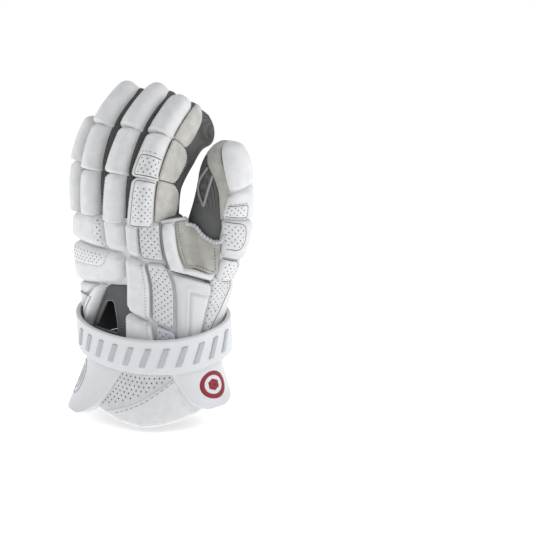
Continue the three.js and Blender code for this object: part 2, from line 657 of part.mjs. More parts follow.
const FINGER_STATIONS = [0.2, 0.42, 0.64, 0.86, 0.95, 1];
const fingers = FINGERS.map((finger) => {
  const tube = fingerTube(finger);
  const rise = HAND_TOP - (CUFF_LENGTH + finger.up * PALM_LENGTH);
  const dip = (rise - FINGER_ROOT_DIP) / finger.length;
  const innerScale = 1 - SHEATH_WALL / finger.length;
  const deeper = (rise - FINGER_ROOT_DIP - LINER_WALL) / finger.length;
  return {
    ...finger,
    tube,
    outer: tubeSolid(tube, [dip, ...FINGER_STATIONS], 0, FINGER_SIDE_COUNT),
    grown: tubeSolid(tube, [dip, ...FINGER_STATIONS], REST_GAP, FINGER_SIDE_COUNT),
    inner: tubeSolid(
      tube, [deeper, ...FINGER_STATIONS.map((at) => at * innerScale)], -SHEATH_WALL, FINGER_SIDE_COUNT,
    ),
  };
});

// The hand part of the liner, open at the wrist, at each finger, at the thumb and at the vent
const ventHole = patchSolid(
  hand, { rows: VENT_HOLE_ROWS, height: BACK_ROLL_HEIGHT * 2 }, 0, -2 * LINER_WALL,
);
const handShell = without(
  handOuter, [handInner, thumbInner, ventHole, ...fingers.map((finger) => finger.inner)],
);

// A block that takes all of the hand on one side of the seam between its back and its palm.
// The seam leans with the hand, halfway through its depth.
function seamBlock(side) {
  const points = [];
  [-SEAM_OVERRUN, 1 + SEAM_OVERRUN].forEach((at) => {
    const seam = HAND_DEPTH * column(PALM_SECTIONS, 'palmward', at) + side * REST_GAP / 2;
    [[-1, 0], [1, 0], [1, 1], [-1, 1]].forEach(([x, y]) => {
      points.push(new THREE.Vector3(
        x * HAND_WIDTH, seam + side * y * HAND_DEPTH, CUFF_LENGTH + at * PALM_LENGTH,
      ));
    });
  });
  return solid(points, [
    [0, 2, 1], [0, 3, 2], [4, 5, 6], [4, 6, 7], [0, 1, 5], [0, 5, 4],
    [1, 2, 6], [1, 6, 5], [2, 3, 7], [2, 7, 6], [3, 0, 4], [3, 4, 7],
  ]);
}
const PALM_SIDE = 1;
const BACK_SIDE = -1;
addMesh('hand_liner_back', handShell.intersect(seamBlock(BACK_SIDE)), 'white_leather');
addMesh('hand_liner_palm', handShell.intersect(seamBlock(PALM_SIDE)), 'palm_leather');

fingers.forEach((finger) => {
  const body = without(finger.outer, [finger.inner, handGrown]);
  addMesh(`finger_sheath_${finger.name}`, body, 'dark_mesh');
});
addMesh('thumb_sheath', without(thumbOuter, [thumbInner, handGrown]), 'dark_mesh');

// The strap, and the space that it takes with its clearance
function bandSolid(outerLift, innerLift, overhang) {
  const ends = stationsBetween(-overhang / STRAP_HEIGHT, 1 + overhang / STRAP_HEIGHT, 1);
  const longer = stationsBetween(ends[0] - 0.2, ends[1] + 0.2, 1);
  const outer = tubeSolid(strap, ends, outerLift, STRAP_SIDE_COUNT);
  return outer.subtract(tubeSolid(strap, longer, innerLift, STRAP_SIDE_COUNT));
}
addMesh('wrist_strap', bandSolid(0, -STRAP_WALL, 0), 'strap_rubber');
const strapGrown = bandSolid(TAB_HEIGHT, -STRAP_WALL - REST_GAP, REST_GAP);

// The cuff liner: an open flared wall whose lower edge rises towards the palm side
function cuffSolid() {
  const rises = 3;
  const sides = HAND_SIDE_COUNT;
  const points = [];
  const triangles = [];
  const topShare = 1 - REST_GAP / CUFF_LENGTH;
  [0, -CUFF_WALL].forEach((lift) => {
    for (let i = 0; i <= rises; i += 1) {
      for (let k = 0; k < sides; k += 1) {
        const around = (k + 0.5) / sides - 0.5;
        const turn = Math.sin(Math.PI * (around - CUFF_LOW_POINT)) ** 2;
        const lowShare = CUFF_EDGE_RISE * turn ** 0.75 / CUFF_LENGTH;
        points.push(cuff.point(around, lowShare + (topShare - lowShare) * i / rises, lift));
      }
    }
  });
  const at = (isInner, i, k) => (isInner ? (rises + 1) * sides : 0) + i * sides + (k % sides);
  const quad = (a, b, c, d) => triangles.push([a, b, c], [a, c, d]);
  for (let k = 0; k < sides; k += 1) {
    for (let i = 0; i < rises; i += 1) {
      quad(at(false, i, k), at(false, i, k + 1), at(false, i + 1, k + 1), at(false, i + 1, k));
      quad(at(true, i, k), at(true, i + 1, k), at(true, i + 1, k + 1), at(true, i, k + 1));
    }
    quad(at(false, 0, k + 1), at(false, 0, k), at(true, 0, k), at(true, 0, k + 1));
    quad(at(false, rises, k), at(false, rises, k + 1), at(true, rises, k + 1), at(true, rises, k));
  }
  return solid(points, triangles);
}
addMesh('cuff_liner', cuffSolid(), 'perforated_leather');
const cuffGrown = tubeSolid(cuff, stationsBetween(-0.1, 1, 4), REST_GAP, HAND_SIDE_COUNT);

CUFF_PATCHES.forEach((patch) => {
  addMesh(patch.name, without(patchSolid(cuff, patch), [cuffGrown, strapGrown]), patch.slot);
});

// The pads on the back of the hand and round the ball of the thumb
const handPadCutters = [handGrown, strapGrown, thumbGrown, ...fingers.map((finger) => finger.grown)];
HAND_PATCHES.forEach((patch) => {
  addMesh(patch.name, without(patchSolid(hand, patch), handPadCutters), patch.slot);
});
const gusset = patchSolid(hand, { rows: GUSSET_ROWS, height: GUSSET_HEIGHT });
addMesh('wrist_vent_gusset', without(gusset, [handGrown, ventHole, strapGrown]), 'grey_gusset');

// The rolls on the backs of the fingers, and the suede side of the index finger
const handPadsGrown = HAND_PATCHES.map((patch) => patchSolid(hand, patch, REST_GAP));
fingers.forEach((finger) => {
  finger.rolls.forEach((start, i) => {
    const end = finger.rolls[i + 1] ?? FINGER_ROLL_END;
    const names = finger.rolls.length === 2 ? ['base', 'tip'] : ['base', 'mid', 'tip'];
    const cutters = [finger.grown, handGrown, ...handPadsGrown];
    const roll = {
      height: FINGER_ROLL_HEIGHT,
      steer: 0.75,
      rows: [
        row(FINGER_ROLL.left, start, FINGER_ROLL.right, start),
        row(FINGER_ROLL.left, end, FINGER_ROLL.right, end),
      ],
    };
    const rollBody = without(patchSolid(finger.tube, roll), cutters);
    addMesh(`${finger.name}_roll_${names[i]}`, rollBody, 'white_leather');
    if (finger.name !== 'index') return;
    const panel = {
      height: SUEDE_HEIGHT,
      rows: [
        row(SIDE_PANEL.left, start, SIDE_PANEL.right, start),
        row(SIDE_PANEL.left, end, SIDE_PANEL.right, end),
      ],
    };
    addMesh(`index_side_${names[i]}`, without(patchSolid(finger.tube, panel), cutters), 'grey_suede');
  });
});

// The rolls and the suede edge of the thumb
THUMB_PATCHES.forEach((patch) => {
  const cutters = [thumbGrown, handGrown, ...handPadsGrown];
  addMesh(patch.name, without(patchSolid(thumb, patch), cutters), patch.slot);
});

export default group;
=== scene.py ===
# A padded lacrosse glove for the left hand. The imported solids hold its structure, and this
# script dresses them. Shapes are worked out in millimetres in the part's own frame: +Z runs
# to the fingertips, -Y is the back of the hand and +X is the thumb side.
import math

import bpy
import numpy as np
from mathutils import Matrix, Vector


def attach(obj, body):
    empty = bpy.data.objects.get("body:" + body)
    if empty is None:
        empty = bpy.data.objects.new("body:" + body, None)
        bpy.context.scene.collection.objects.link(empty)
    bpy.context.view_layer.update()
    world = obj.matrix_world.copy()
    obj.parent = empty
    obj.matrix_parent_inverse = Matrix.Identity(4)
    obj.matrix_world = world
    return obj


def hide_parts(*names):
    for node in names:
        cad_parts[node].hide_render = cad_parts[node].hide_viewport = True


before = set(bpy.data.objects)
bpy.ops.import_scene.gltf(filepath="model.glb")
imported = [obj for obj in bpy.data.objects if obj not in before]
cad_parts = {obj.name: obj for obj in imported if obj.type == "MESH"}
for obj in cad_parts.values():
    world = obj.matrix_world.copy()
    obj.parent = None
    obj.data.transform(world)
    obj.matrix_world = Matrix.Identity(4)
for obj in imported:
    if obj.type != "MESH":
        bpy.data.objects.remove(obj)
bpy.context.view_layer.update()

MM = 0.001
DETAIL = 1.0

# Driving sizes, the same as the part's own
CUFF_LENGTH, PALM_LENGTH, HAND_DEPTH, HAND_MARGIN = 63, 122, 86, 3
FINGER_WIDTH, FINGER_SPACE, FINGER_DEPTH = 23, 5.5, 36
FINGER_PITCH = FINGER_WIDTH + FINGER_SPACE
HAND_WIDTH = 4 * FINGER_PITCH + HAND_MARGIN
THUMB_LENGTH, THUMB_WIDTH, THUMB_DEPTH, THUMB_FACING = 153, 44, 54, 130
CUFF_WIDTH, CUFF_DEPTH, CUFF_WALL, CUFF_EDGE_RISE = 148, 114, 3, 50
STRAP_STANDOFF, STRAP_THUMB_STANDOFF, STRAP_WALL, STRAP_HEIGHT = 16, 8, 4.5, 31
STRAP_LEVEL, STRAP_TILT, STRAP_TILT_TOWARDS, THENAR_UNDER_STRAP = 14, 11, 30, 0.15
LINER_WALL, SHEATH_WALL = 2.4, 2
FINGER_ROLL, BACK_ROLL, THUMB_ROLL, FRAME_ROLL = 12, 9, 7, 7
VENT_PANEL, GUARD, SUEDE, GUSSET, TAB = 5.5, 6.5, 3, 2.5, 7
BACK_ROUND, PALM_ROUND, THENAR_ROUND, FINGER_ROUND, THUMB_ROUND = 2.1, 2.5, 2.01, 2.3, 2.2
LOBE_BLEND = 6.5

# Sections and paths, in the same shares of those sizes as the part's own tables
LOBE_KEYS = ("at", "across", "palmward", "half", "back", "palm")
PALM_SECTIONS = [dict(zip(LOBE_KEYS, r)) for r in (
    (0.00, 0.010, 0.000, 0.500, 0.530, 0.465),
    (0.25, -0.025, -0.045, 0.500, 0.440, 0.420),
    (0.53, -0.070, -0.115, 0.505, 0.370, 0.340),
    (0.78, -0.100, -0.160, 0.505, 0.325, 0.255),
    (1.00, -0.110, -0.175, 0.500, 0.290, 0.210))]
THENAR_SECTIONS = [dict(zip(LOBE_KEYS, r)) for r in (
    (0.00, 0.256, 0.090, 0.222, 0.325, 0.325),
    (0.28, 0.325, 0.185, 0.205, 0.325, 0.325),
    (0.53, 0.368, 0.230, 0.197, 0.325, 0.325),
    (0.75, 0.290, 0.070, 0.154, 0.210, 0.210),
    (1.00, 0.170, -0.070, 0.120, 0.163, 0.163))]
CUFF_SECTIONS = [dict(at=0.0, flare=0.92), dict(at=0.25, flare=0.74),
                 dict(at=0.65, flare=0.29), dict(at=1.0, flare=0.0)]
CUFF_BACK_SHARE, CUFF_LOW_POINT = 0.555, 0.10
BEND_STATIONS = (0, 0.15, 0.43, 0.78, 1)
FINGER_KEYS = ("length", "across", "palmward", "up", "facing", "splay", "palm", "bend", "rolls")
FINGERS = {name: dict(zip(FINGER_KEYS, r)) for name, r in {
    "index": (119, 0.92, -0.25, 0.967, 4, 1, 0.88, (3, 6, 28, 47, 56), (0.0, 0.31, 0.62)),
    "middle": (127, 0, -0.314, 0.992, 0, 0, 0.611, (0, 4, 26, 51, 62), (0.0, 0.29, 0.58)),
    "ring": (119, -1, -0.302, 1.016, -10, -1, 0.556, (-2, 0, 18, 45, 56), (0.0, 0.30, 0.60)),
    "pinky": (84, -1.93, -0.21, 0.984, -22, -2, 0.5, (-4, -2, 8, 26, 35), (0.02, 0.5)),
}.items()}
FINGER_BACK_SHARE, FINGERTIP_START, FINGER_ROLL_END = 0.333, 0.87, 0.985
THUMB_ROOT = dict(across=0.308, palmward=0.198, up=0.287)
THUMB_KEYS = ("at", "across", "palmward", "up", "half", "back", "palm")
THUMB_SECTIONS = [dict(zip(THUMB_KEYS, r)) for r in (
    (0.00, 0.000, 0.000, 0.00, 0.386, 0.37, 0.37),
    (0.30, 0.078, 0.046, 0.23, 0.500, 0.39, 0.54),
    (0.55, 0.150, 0.098, 0.47, 0.477, 0.41, 0.58),
    (0.78, 0.170, 0.124, 0.72, 0.455, 0.35, 0.49),
    (1.00, 0.170, 0.137, 1.00, 0.386, 0.30, 0.41))]
THUMB_TIP_START, TIP_OVERRUN, TIP_SMALLEST = 0.84, 0.005, 0.15

UP = np.array([0.0, 0.0, 1.0])
BACK = np.array([0.0, -1.0, 0.0])
THUMBWARD = np.array([1.0, 0.0, 0.0])


def through(stations, values, at):
    """A cubic through values at stations, straight on beyond the ends."""
    x, y = np.asarray(stations, float), np.asarray(values, float)
    at = np.asarray(at, float)
    slope = np.empty_like(y)
    slope[1:-1] = (y[2:] - y[:-2]) / (x[2:] - x[:-2])
    slope[0], slope[-1] = (y[1] - y[0]) / (x[1] - x[0]), (y[-1] - y[-2]) / (x[-1] - x[-2])
    i = np.clip(np.searchsorted(x, at) - 1, 0, len(x) - 2)
    span = x[i + 1] - x[i]
    free = (at - x[i]) / span
    t = np.clip(free, 0, 1)
    inside = ((1 + 2 * t) * (1 - t) ** 2 * y[i] + t * (1 - t) ** 2 * span * slope[i]
              + t * t * (3 - 2 * t) * y[i + 1] - t * t * (1 - t) * span * slope[i + 1])
    return inside + np.where(free < 0, free * span * slope[i], 0) + np.where(
        free > 1, (free - 1) * span * slope[i + 1], 0)


def column(rows, key, at):
    return through([r["at"] for r in rows], [r[key] for r in rows], at)


def unit(v):
    return v / np.maximum(np.linalg.norm(v, axis=-1, keepdims=True), 1e-12)


def noise(x, y, scale, seed):
    """Smooth bumps from -1 to 1, about scale mm apart."""
    lattice = np.random.default_rng(seed).uniform(-1, 1, (64, 64))
    u, v = np.asarray(x) / scale + 32, np.asarray(y) / scale + 32
    i, j = np.floor(u).astype(int), np.floor(v).astype(int)
    fu, fv = u - i, v - j
    fu, fv = fu * fu * (3 - 2 * fu), fv * fv * (3 - 2 * fv)
    corner = lambda a, b: lattice[(i + a) % 64, (j + b) % 64]
    low = corner(0, 0) * (1 - fv) + corner(0, 1) * fv
    high = corner(1, 0) * (1 - fv) + corner(1, 1) * fv
    return low * (1 - fu) + high * fu


class Tube:
    """A rounded surface along a path, kept as a fine table of rings. A place on it is a share
    around its girth, from the middle of the back, and a share along its length."""

    def __init__(self, frame_at, lobes_at, low=-0.15, high=1.15, rings=361, spokes=720):
        self.low, self.high = low, high
        along = np.linspace(low, high, rings)
        centre, side, back = frame_at(along)
        angle = np.linspace(-math.pi, math.pi, 721)
        sin, cos = np.sin(angle)[None], np.cos(angle)[None]
        reaches, xs, ys = [], [], []
        for lobe in lobes_at(along):
            across, backward, half, deep, palm = (np.reshape(np.broadcast_to(
                lobe[k], along.shape), (-1, 1)) for k in ("across", "backward", "half", "back", "palm"))
            depth = np.where(cos > 0, deep, palm)
            power = np.where(cos > 0, lobe["back_round"], lobe["palm_round"])
            dual = power / (power - 1)
            reach = ((half * abs(sin)) ** dual + (depth * abs(cos)) ** dual) ** (1 / dual)
            x = np.sign(sin) * half ** dual * abs(sin) ** (dual - 1) / reach ** (dual - 1) + across
            y = np.sign(cos) * depth ** dual * abs(cos) ** (dual - 1) / reach ** (dual - 1) + backward
            reaches.append(reach + across * sin + backward * cos)
            xs.append(x)
            ys.append(y)
        reaches, xs, ys = map(np.stack, (reaches, xs, ys))
        top = reaches.max(0)
        weights = np.exp((reaches - top) / LOBE_BLEND)
        total = weights.sum(0)
        weights /= total
        lift = top + np.log(total) * LOBE_BLEND - (weights * reaches).sum(0)
        x = (weights * xs).sum(0) + lift * sin
        y = (weights * ys).sum(0) + lift * cos
        run = np.concatenate([np.zeros((rings, 1)), np.cumsum(
            np.hypot(np.diff(x), np.diff(y)), 1)], 1)
        share = np.linspace(-0.5, 0.5, spokes + 1)
        self.place = np.empty((rings, spokes + 1, 3))
        self.out = np.empty_like(self.place)
        for k in range(rings):
            girth = run[k, -1]
            wanted = (run[k, 360] + share * girth) % girth
            a, b, c = (np.interp(wanted, run[k], v) for v in (x[k], y[k], angle))
            self.place[k] = centre[k] + a[:, None] * side[k] + b[:, None] * back[k]
            self.out[k] = np.sin(c)[:, None] * side[k] + np.cos(c)[:, None] * back[k]
        self.side, self.back = side, back

    def point(self, around, along, lift=0.0, steer=0.0):
        around, along = np.broadcast_arrays(np.asarray(around, float), np.asarray(along, float))
        rings, spokes = self.place.shape[0], self.place.shape[1] - 1
        u = (np.clip(along, self.low, self.high) - self.low) / (self.high - self.low) * (rings - 1)
        v = ((around + 0.5) % 1.0) * spokes
        i, j = np.minimum(u.astype(int), rings - 2), np.minimum(v.astype(int), spokes - 1)
        fu, fv = (u - i)[..., None], (v - j)[..., None]
        mix = lambda t: ((t[i, j] * (1 - fv) + t[i, j + 1] * fv) * (1 - fu)
                         + (t[i + 1, j] * (1 - fv) + t[i + 1, j + 1] * fv) * fu)
        way = mix(self.out)
        if steer:
            way = way * (1 - steer) + (self.back[i] * (1 - fu) + self.back[i + 1] * fu) * steer
        return mix(self.place) + unit(way) * np.asarray(lift, float)[..., None]


def lobe(rows, at, width, depth, back_round, palm_round):
    return dict(across=column(rows, "across", at) * width,
                backward=-column(rows, "palmward", at) * depth,
                half=column(rows, "half", at) * width,
                back=column(rows, "back", at) * depth,
                palm=column(rows, "palm", at) * depth,
                back_round=back_round, palm_round=palm_round)


def level(z):
    rows = np.ones((len(z), 1))
    return np.stack([0 * z, 0 * z, z], 1), rows * THUMBWARD, rows * BACK


def palm_lobe(at):
    return lobe(PALM_SECTIONS, at, HAND_WIDTH, HAND_DEPTH, BACK_ROUND, PALM_ROUND)


def thenar_lobe(at):
    return lobe(THENAR_SECTIONS, at, HAND_WIDTH, HAND_DEPTH, THENAR_ROUND, THENAR_ROUND)


def cuff_lobes(at):
    flare = column(CUFF_SECTIONS, "flare", at)
    wrist, thenar = palm_lobe(0 * at), thenar_lobe(0 * at)
    grow = lambda low, mouth: low + (mouth - low) * flare
    wide = grow(wrist["half"], CUFF_WIDTH / 2)
    palm = dict(wrist, half=wide, back=grow(wrist["back"], CUFF_DEPTH * CUFF_BACK_SHARE),
                palm=grow(wrist["palm"], CUFF_DEPTH * (1 - CUFF_BACK_SHARE)))
    return [palm, dict(thenar, across=thenar["across"] * wide / wrist["half"])]


def strap_frame(at):
    lean, towards = math.radians(STRAP_TILT), math.radians(STRAP_TILT_TOWARDS)
    low = np.array([math.sin(towards), -math.cos(towards), 0])
    axis = UP * math.cos(lean) + low * math.sin(lean)
    back = unit(BACK - axis * BACK.dot(axis))
    centre = UP * (CUFF_LENGTH + STRAP_LEVEL) + axis * ((at - 0.5) * STRAP_HEIGHT)[:, None]
    rows = np.ones((len(at), 1))
    return centre, rows * np.cross(axis, back), rows * back


def strap_lobes(at):
    def grown(section, standoff):
        return dict(section, **{k: section[k] + standoff for k in ("half", "back", "palm")})
    return [grown(palm_lobe(0 * at), STRAP_STANDOFF),
            grown(thenar_lobe(0 * at + THENAR_UNDER_STRAP), STRAP_THUMB_STANDOFF)]


def path_frame(points, facing, turn):
    """The frame along a path of points, with the way its back faces as a compass angle."""
    outward = np.array([math.sin(math.radians(facing)), -math.cos(math.radians(facing)), 0])
    tangents = unit(np.gradient(points, axis=0))
    last = len(points) - 1
    step = np.linalg.norm(points[1] - points[0]) * last

    def frame_at(along):
        inside = np.clip(along, 0, 1)
        place = inside * last
        i = np.minimum(place.astype(int), last - 1)
        f = (place - i)[:, None]
        tangent = unit(tangents[i] * (1 - f) + tangents[i + 1] * f)
        centre = points[i] * (1 - f) + points[i + 1] * f + tangent * ((along - inside) * step)[:, None]
        side = unit(np.cross(tangent, outward))
        return centre, side * turn, np.cross(side, tangent)
    return frame_at


def tip_taper(along, start):
    past = np.maximum(along - start, 0) / (1 + TIP_OVERRUN - start)
    return np.sqrt(np.maximum(1 - past * past, TIP_SMALLEST ** 2))


PATH_STEPS = 480


def finger_tube(f):
    facing, splay = math.radians(f["facing"]), math.radians(f["splay"])
    palmward = np.array([-math.sin(facing), math.cos(facing), 0])
    sideways = np.array([math.cos(facing), math.sin(facing), 0])
    at = (np.arange(PATH_STEPS) + 0.5) / PATH_STEPS
    bend = np.radians(through(BEND_STATIONS, f["bend"], at))[:, None]
    way = (UP * np.cos(bend) + palmward * np.sin(bend)) * math.cos(splay) + sideways * math.sin(splay)
    root = np.array([f["across"] * FINGER_PITCH, f["palmward"] * HAND_DEPTH,
                     CUFF_LENGTH + f["up"] * PALM_LENGTH])
    points = root + np.concatenate([[[0, 0, 0]], np.cumsum(way * f["length"] / PATH_STEPS, 0)])

    def lobes(along):
        taper = tip_taper(along, FINGERTIP_START)
        return [dict(across=0, backward=0, half=FINGER_WIDTH / 2 * taper,
                     back=FINGER_DEPTH * FINGER_BACK_SHARE * taper, palm=FINGER_DEPTH * f["palm"] * taper,
                     back_round=FINGER_ROUND, palm_round=FINGER_ROUND)]
    return Tube(path_frame(points, f["facing"], 1), lobes)


def thumb_tube():
    at = np.linspace(0, 1, PATH_STEPS + 1)
    points = np.stack([
        THUMB_ROOT["across"] * HAND_WIDTH + column(THUMB_SECTIONS, "across", at) * THUMB_LENGTH,
        THUMB_ROOT["palmward"] * HAND_DEPTH + column(THUMB_SECTIONS, "palmward", at) * THUMB_LENGTH,
        CUFF_LENGTH + THUMB_ROOT["up"] * PALM_LENGTH + column(THUMB_SECTIONS, "up", at) * THUMB_LENGTH,
    ], 1)

    def lobes(along):
        taper = tip_taper(along, THUMB_TIP_START)
        return [dict(across=0, backward=0, half=column(THUMB_SECTIONS, "half", along) * THUMB_WIDTH * taper,
                     back=column(THUMB_SECTIONS, "back", along) * THUMB_DEPTH * taper,
                     palm=column(THUMB_SECTIONS, "palm", along) * THUMB_DEPTH * taper,
                     back_round=THUMB_ROUND, palm_round=THUMB_ROUND)]
    return Tube(path_frame(points, THUMB_FACING, -1), lobes)


hand = Tube(lambda at: level(CUFF_LENGTH + PALM_LENGTH * at), lambda at: [palm_lobe(at), thenar_lobe(at)])
cuff = Tube(lambda at: level(CUFF_LENGTH * at), cuff_lobes)
strap = Tube(strap_frame, strap_lobes, rings=61)
fingers = {name: finger_tube(f) for name, f in FINGERS.items()}
thumb = thumb_tube()


def make_object(name, points, faces, materials, face_material=None):
    """A mesh object in metres, with its faces turned outwards."""
    a, b, c, d = (points[faces[:, k]] for k in range(4))
    volume = (np.cross(a, b) * c).sum() + (np.cross(a, c) * d).sum()
    if volume < 0:
        faces = faces[:, ::-1]
    mesh = bpy.data.meshes.new(name)
    polygons = [list(dict.fromkeys(f)) for f in faces.tolist()]
    mesh.from_pydata((points * MM).tolist(), [], polygons)
    mesh.polygons.foreach_set("use_smooth", [True] * len(polygons))
    for material in materials:
        mesh.materials.append(material)
    if face_material is not None:
        mesh.polygons.foreach_set("material_index", np.asarray(face_material, np.int32))
    made = bpy.data.objects.new(name, mesh)
    bpy.context.scene.collection.objects.link(made)
    return made


def slab(top, low, keep=None, wrap=False):
    """Points and faces of a sheet with thickness: two grids joined round every open edge.
    Only the cells marked in keep are made. The last value tells which cell a face covers."""
    n, m = top.shape[:2]
    across = m if wrap else m - 1
    i, j = np.meshgrid(np.arange(n - 1), np.arange(across), indexing="ij")
    keep = np.ones(i.shape, bool) if keep is None else keep
    a, b, c, d = i * m + j, i * m + (j + 1) % m, (i + 1) * m + (j + 1) % m, (i + 1) * m + j
    count = n * m
    cell = np.arange(i.size).reshape(i.shape)
    faces = [np.stack([a, b, c, d], -1)[keep], np.stack([a, d, c, b], -1)[keep] + count]
    cells = [cell[keep], cell[keep] - i.size]
    none_across = np.zeros((n - 1, 1), bool)
    none_up = np.zeros((1, across), bool)
    left = np.roll(keep, 1, 1) if wrap else np.concatenate([none_across, keep[:, :-1]], 1)
    right = np.roll(keep, -1, 1) if wrap else np.concatenate([keep[:, 1:], none_across], 1)
    below, above = np.concatenate([none_up, keep[:-1]]), np.concatenate([keep[1:], none_up])
    for p, q, neighbour in ((a, b, below), (b, c, right), (c, d, above), (d, a, left)):
        edge = keep & ~neighbour
        faces.append(np.stack([q[edge], p[edge], p[edge] + count, q[edge] + count], -1))
        cells.append(cell[edge] - i.size)
    faces, cells = np.concatenate(faces), np.concatenate(cells)
    points = np.concatenate([top.reshape(-1, 3), low.reshape(-1, 3)])
    used, where = np.unique(faces, return_inverse=True)
    return points[used], where.reshape(faces.shape), cells


def finish_piece(piece, slot, nodes=(), soft=True):
    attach(piece, "root")
    if nodes:
        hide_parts(*nodes)
    return piece


def stations(length, step, rim):
    """Shares from 0 to 1 of a length, even inside and closer together at both ends."""
    count = max(int(round((length - 2 * rim[-1]) / step)), 2)
    inner = np.linspace(rim[-1], length - rim[-1], count + 1)
    rim = np.asarray(rim[:-1])
    return np.concatenate([rim, inner, length - rim[::-1]]) / length, len(rim)


def polyline(corners, rounding, spacing):
    """Points along straight stretches between corners, with each inner corner rounded off."""
    corners = [np.asarray(c, float) for c in corners]
    path = [corners[0]]
    for before, here, after in zip(corners, corners[1:], corners[2:]):
        back, on = before - here, after - here
        reach = min(rounding, np.linalg.norm(back) / 2, np.linalg.norm(on) / 2)
        start, end = here + unit(back) * reach, here + unit(on) * reach
        for t in np.linspace(0, 1, 7):
            path.append(start * (1 - t) ** 2 + here * 2 * t * (1 - t) + end * t * t)
    path.append(corners[-1])
    path = np.array(path)
    run = np.concatenate([[0], np.cumsum(np.linalg.norm(np.diff(path, axis=0), axis=1))])
    even = np.linspace(0, run[-1], max(int(run[-1] / spacing), 2) + 1)
    return np.stack([np.interp(even, run, path[:, k]) for k in range(path.shape[1])], 1)


def distance_to(x, y, path):
    """Distance of every place from a path, and whether the place is inside it."""
    best = np.full(x.shape, 1e9)
    inside = np.zeros(x.shape, bool)
    closed = np.concatenate([path, path[:1]])
    for k, (p, q) in enumerate(zip(closed, closed[1:])):
        way = q - p
        if k < len(path) - 1:
            share = np.clip(((x - p[0]) * way[0] + (y - p[1]) * way[1]) / max(way @ way, 1e-9), 0, 1)
            best = np.minimum(best, np.hypot(x - p[0] - share * way[0], y - p[1] - share * way[1]))
        crosses = (p[1] > y) != (q[1] > y)
        with np.errstate(divide="ignore", invalid="ignore"):
            inside ^= crosses & (x < p[0] + (y - p[1]) * way[0] / (q[1] - p[1]))
    return best, inside


# How a patch is meshed: the closer stations at its ends, how far its root goes under the carrier
# and how far it is drawn in, the spacing of its stations, and the length hidden under a strap
RIM = (0, 0.12, 0.4, 0.8, 1.4)
ROOT, RIM_DEPTH_SHARE, DRAWN_IN = 1.2, 0.6, 0.3
PLAIN_STEP, HOLE_STEP, HOLE_STEP_UP = 1.1, 1.0, 0.93
TUCKED_LENGTH = 40

# Folds fan out from the corners of a patch, and ripples run up from its lower end
FOLD_LENGTH, FOLD_FAN = 7, 9
RIPPLE_LENGTH, RIPPLE_SPACING, RIPPLE_SHARE = 3.5, 3.2, 0.45

# Unevenness of padded leather: broad swells and fine ones, each with its height and spacing
SWELL_SHARE, SWELL_SPACING, FINE_SHARE, FINE_SPACING = 0.6, 13, 0.25, 5

# Punched holes: one every few stations, clear of the edge of the perforated area
HOLE_RADIUS, HOLE_DEPTH, HOLE_EVERY, HOLE_CLEARANCE = 0.62, 1.5, 3, 1.3


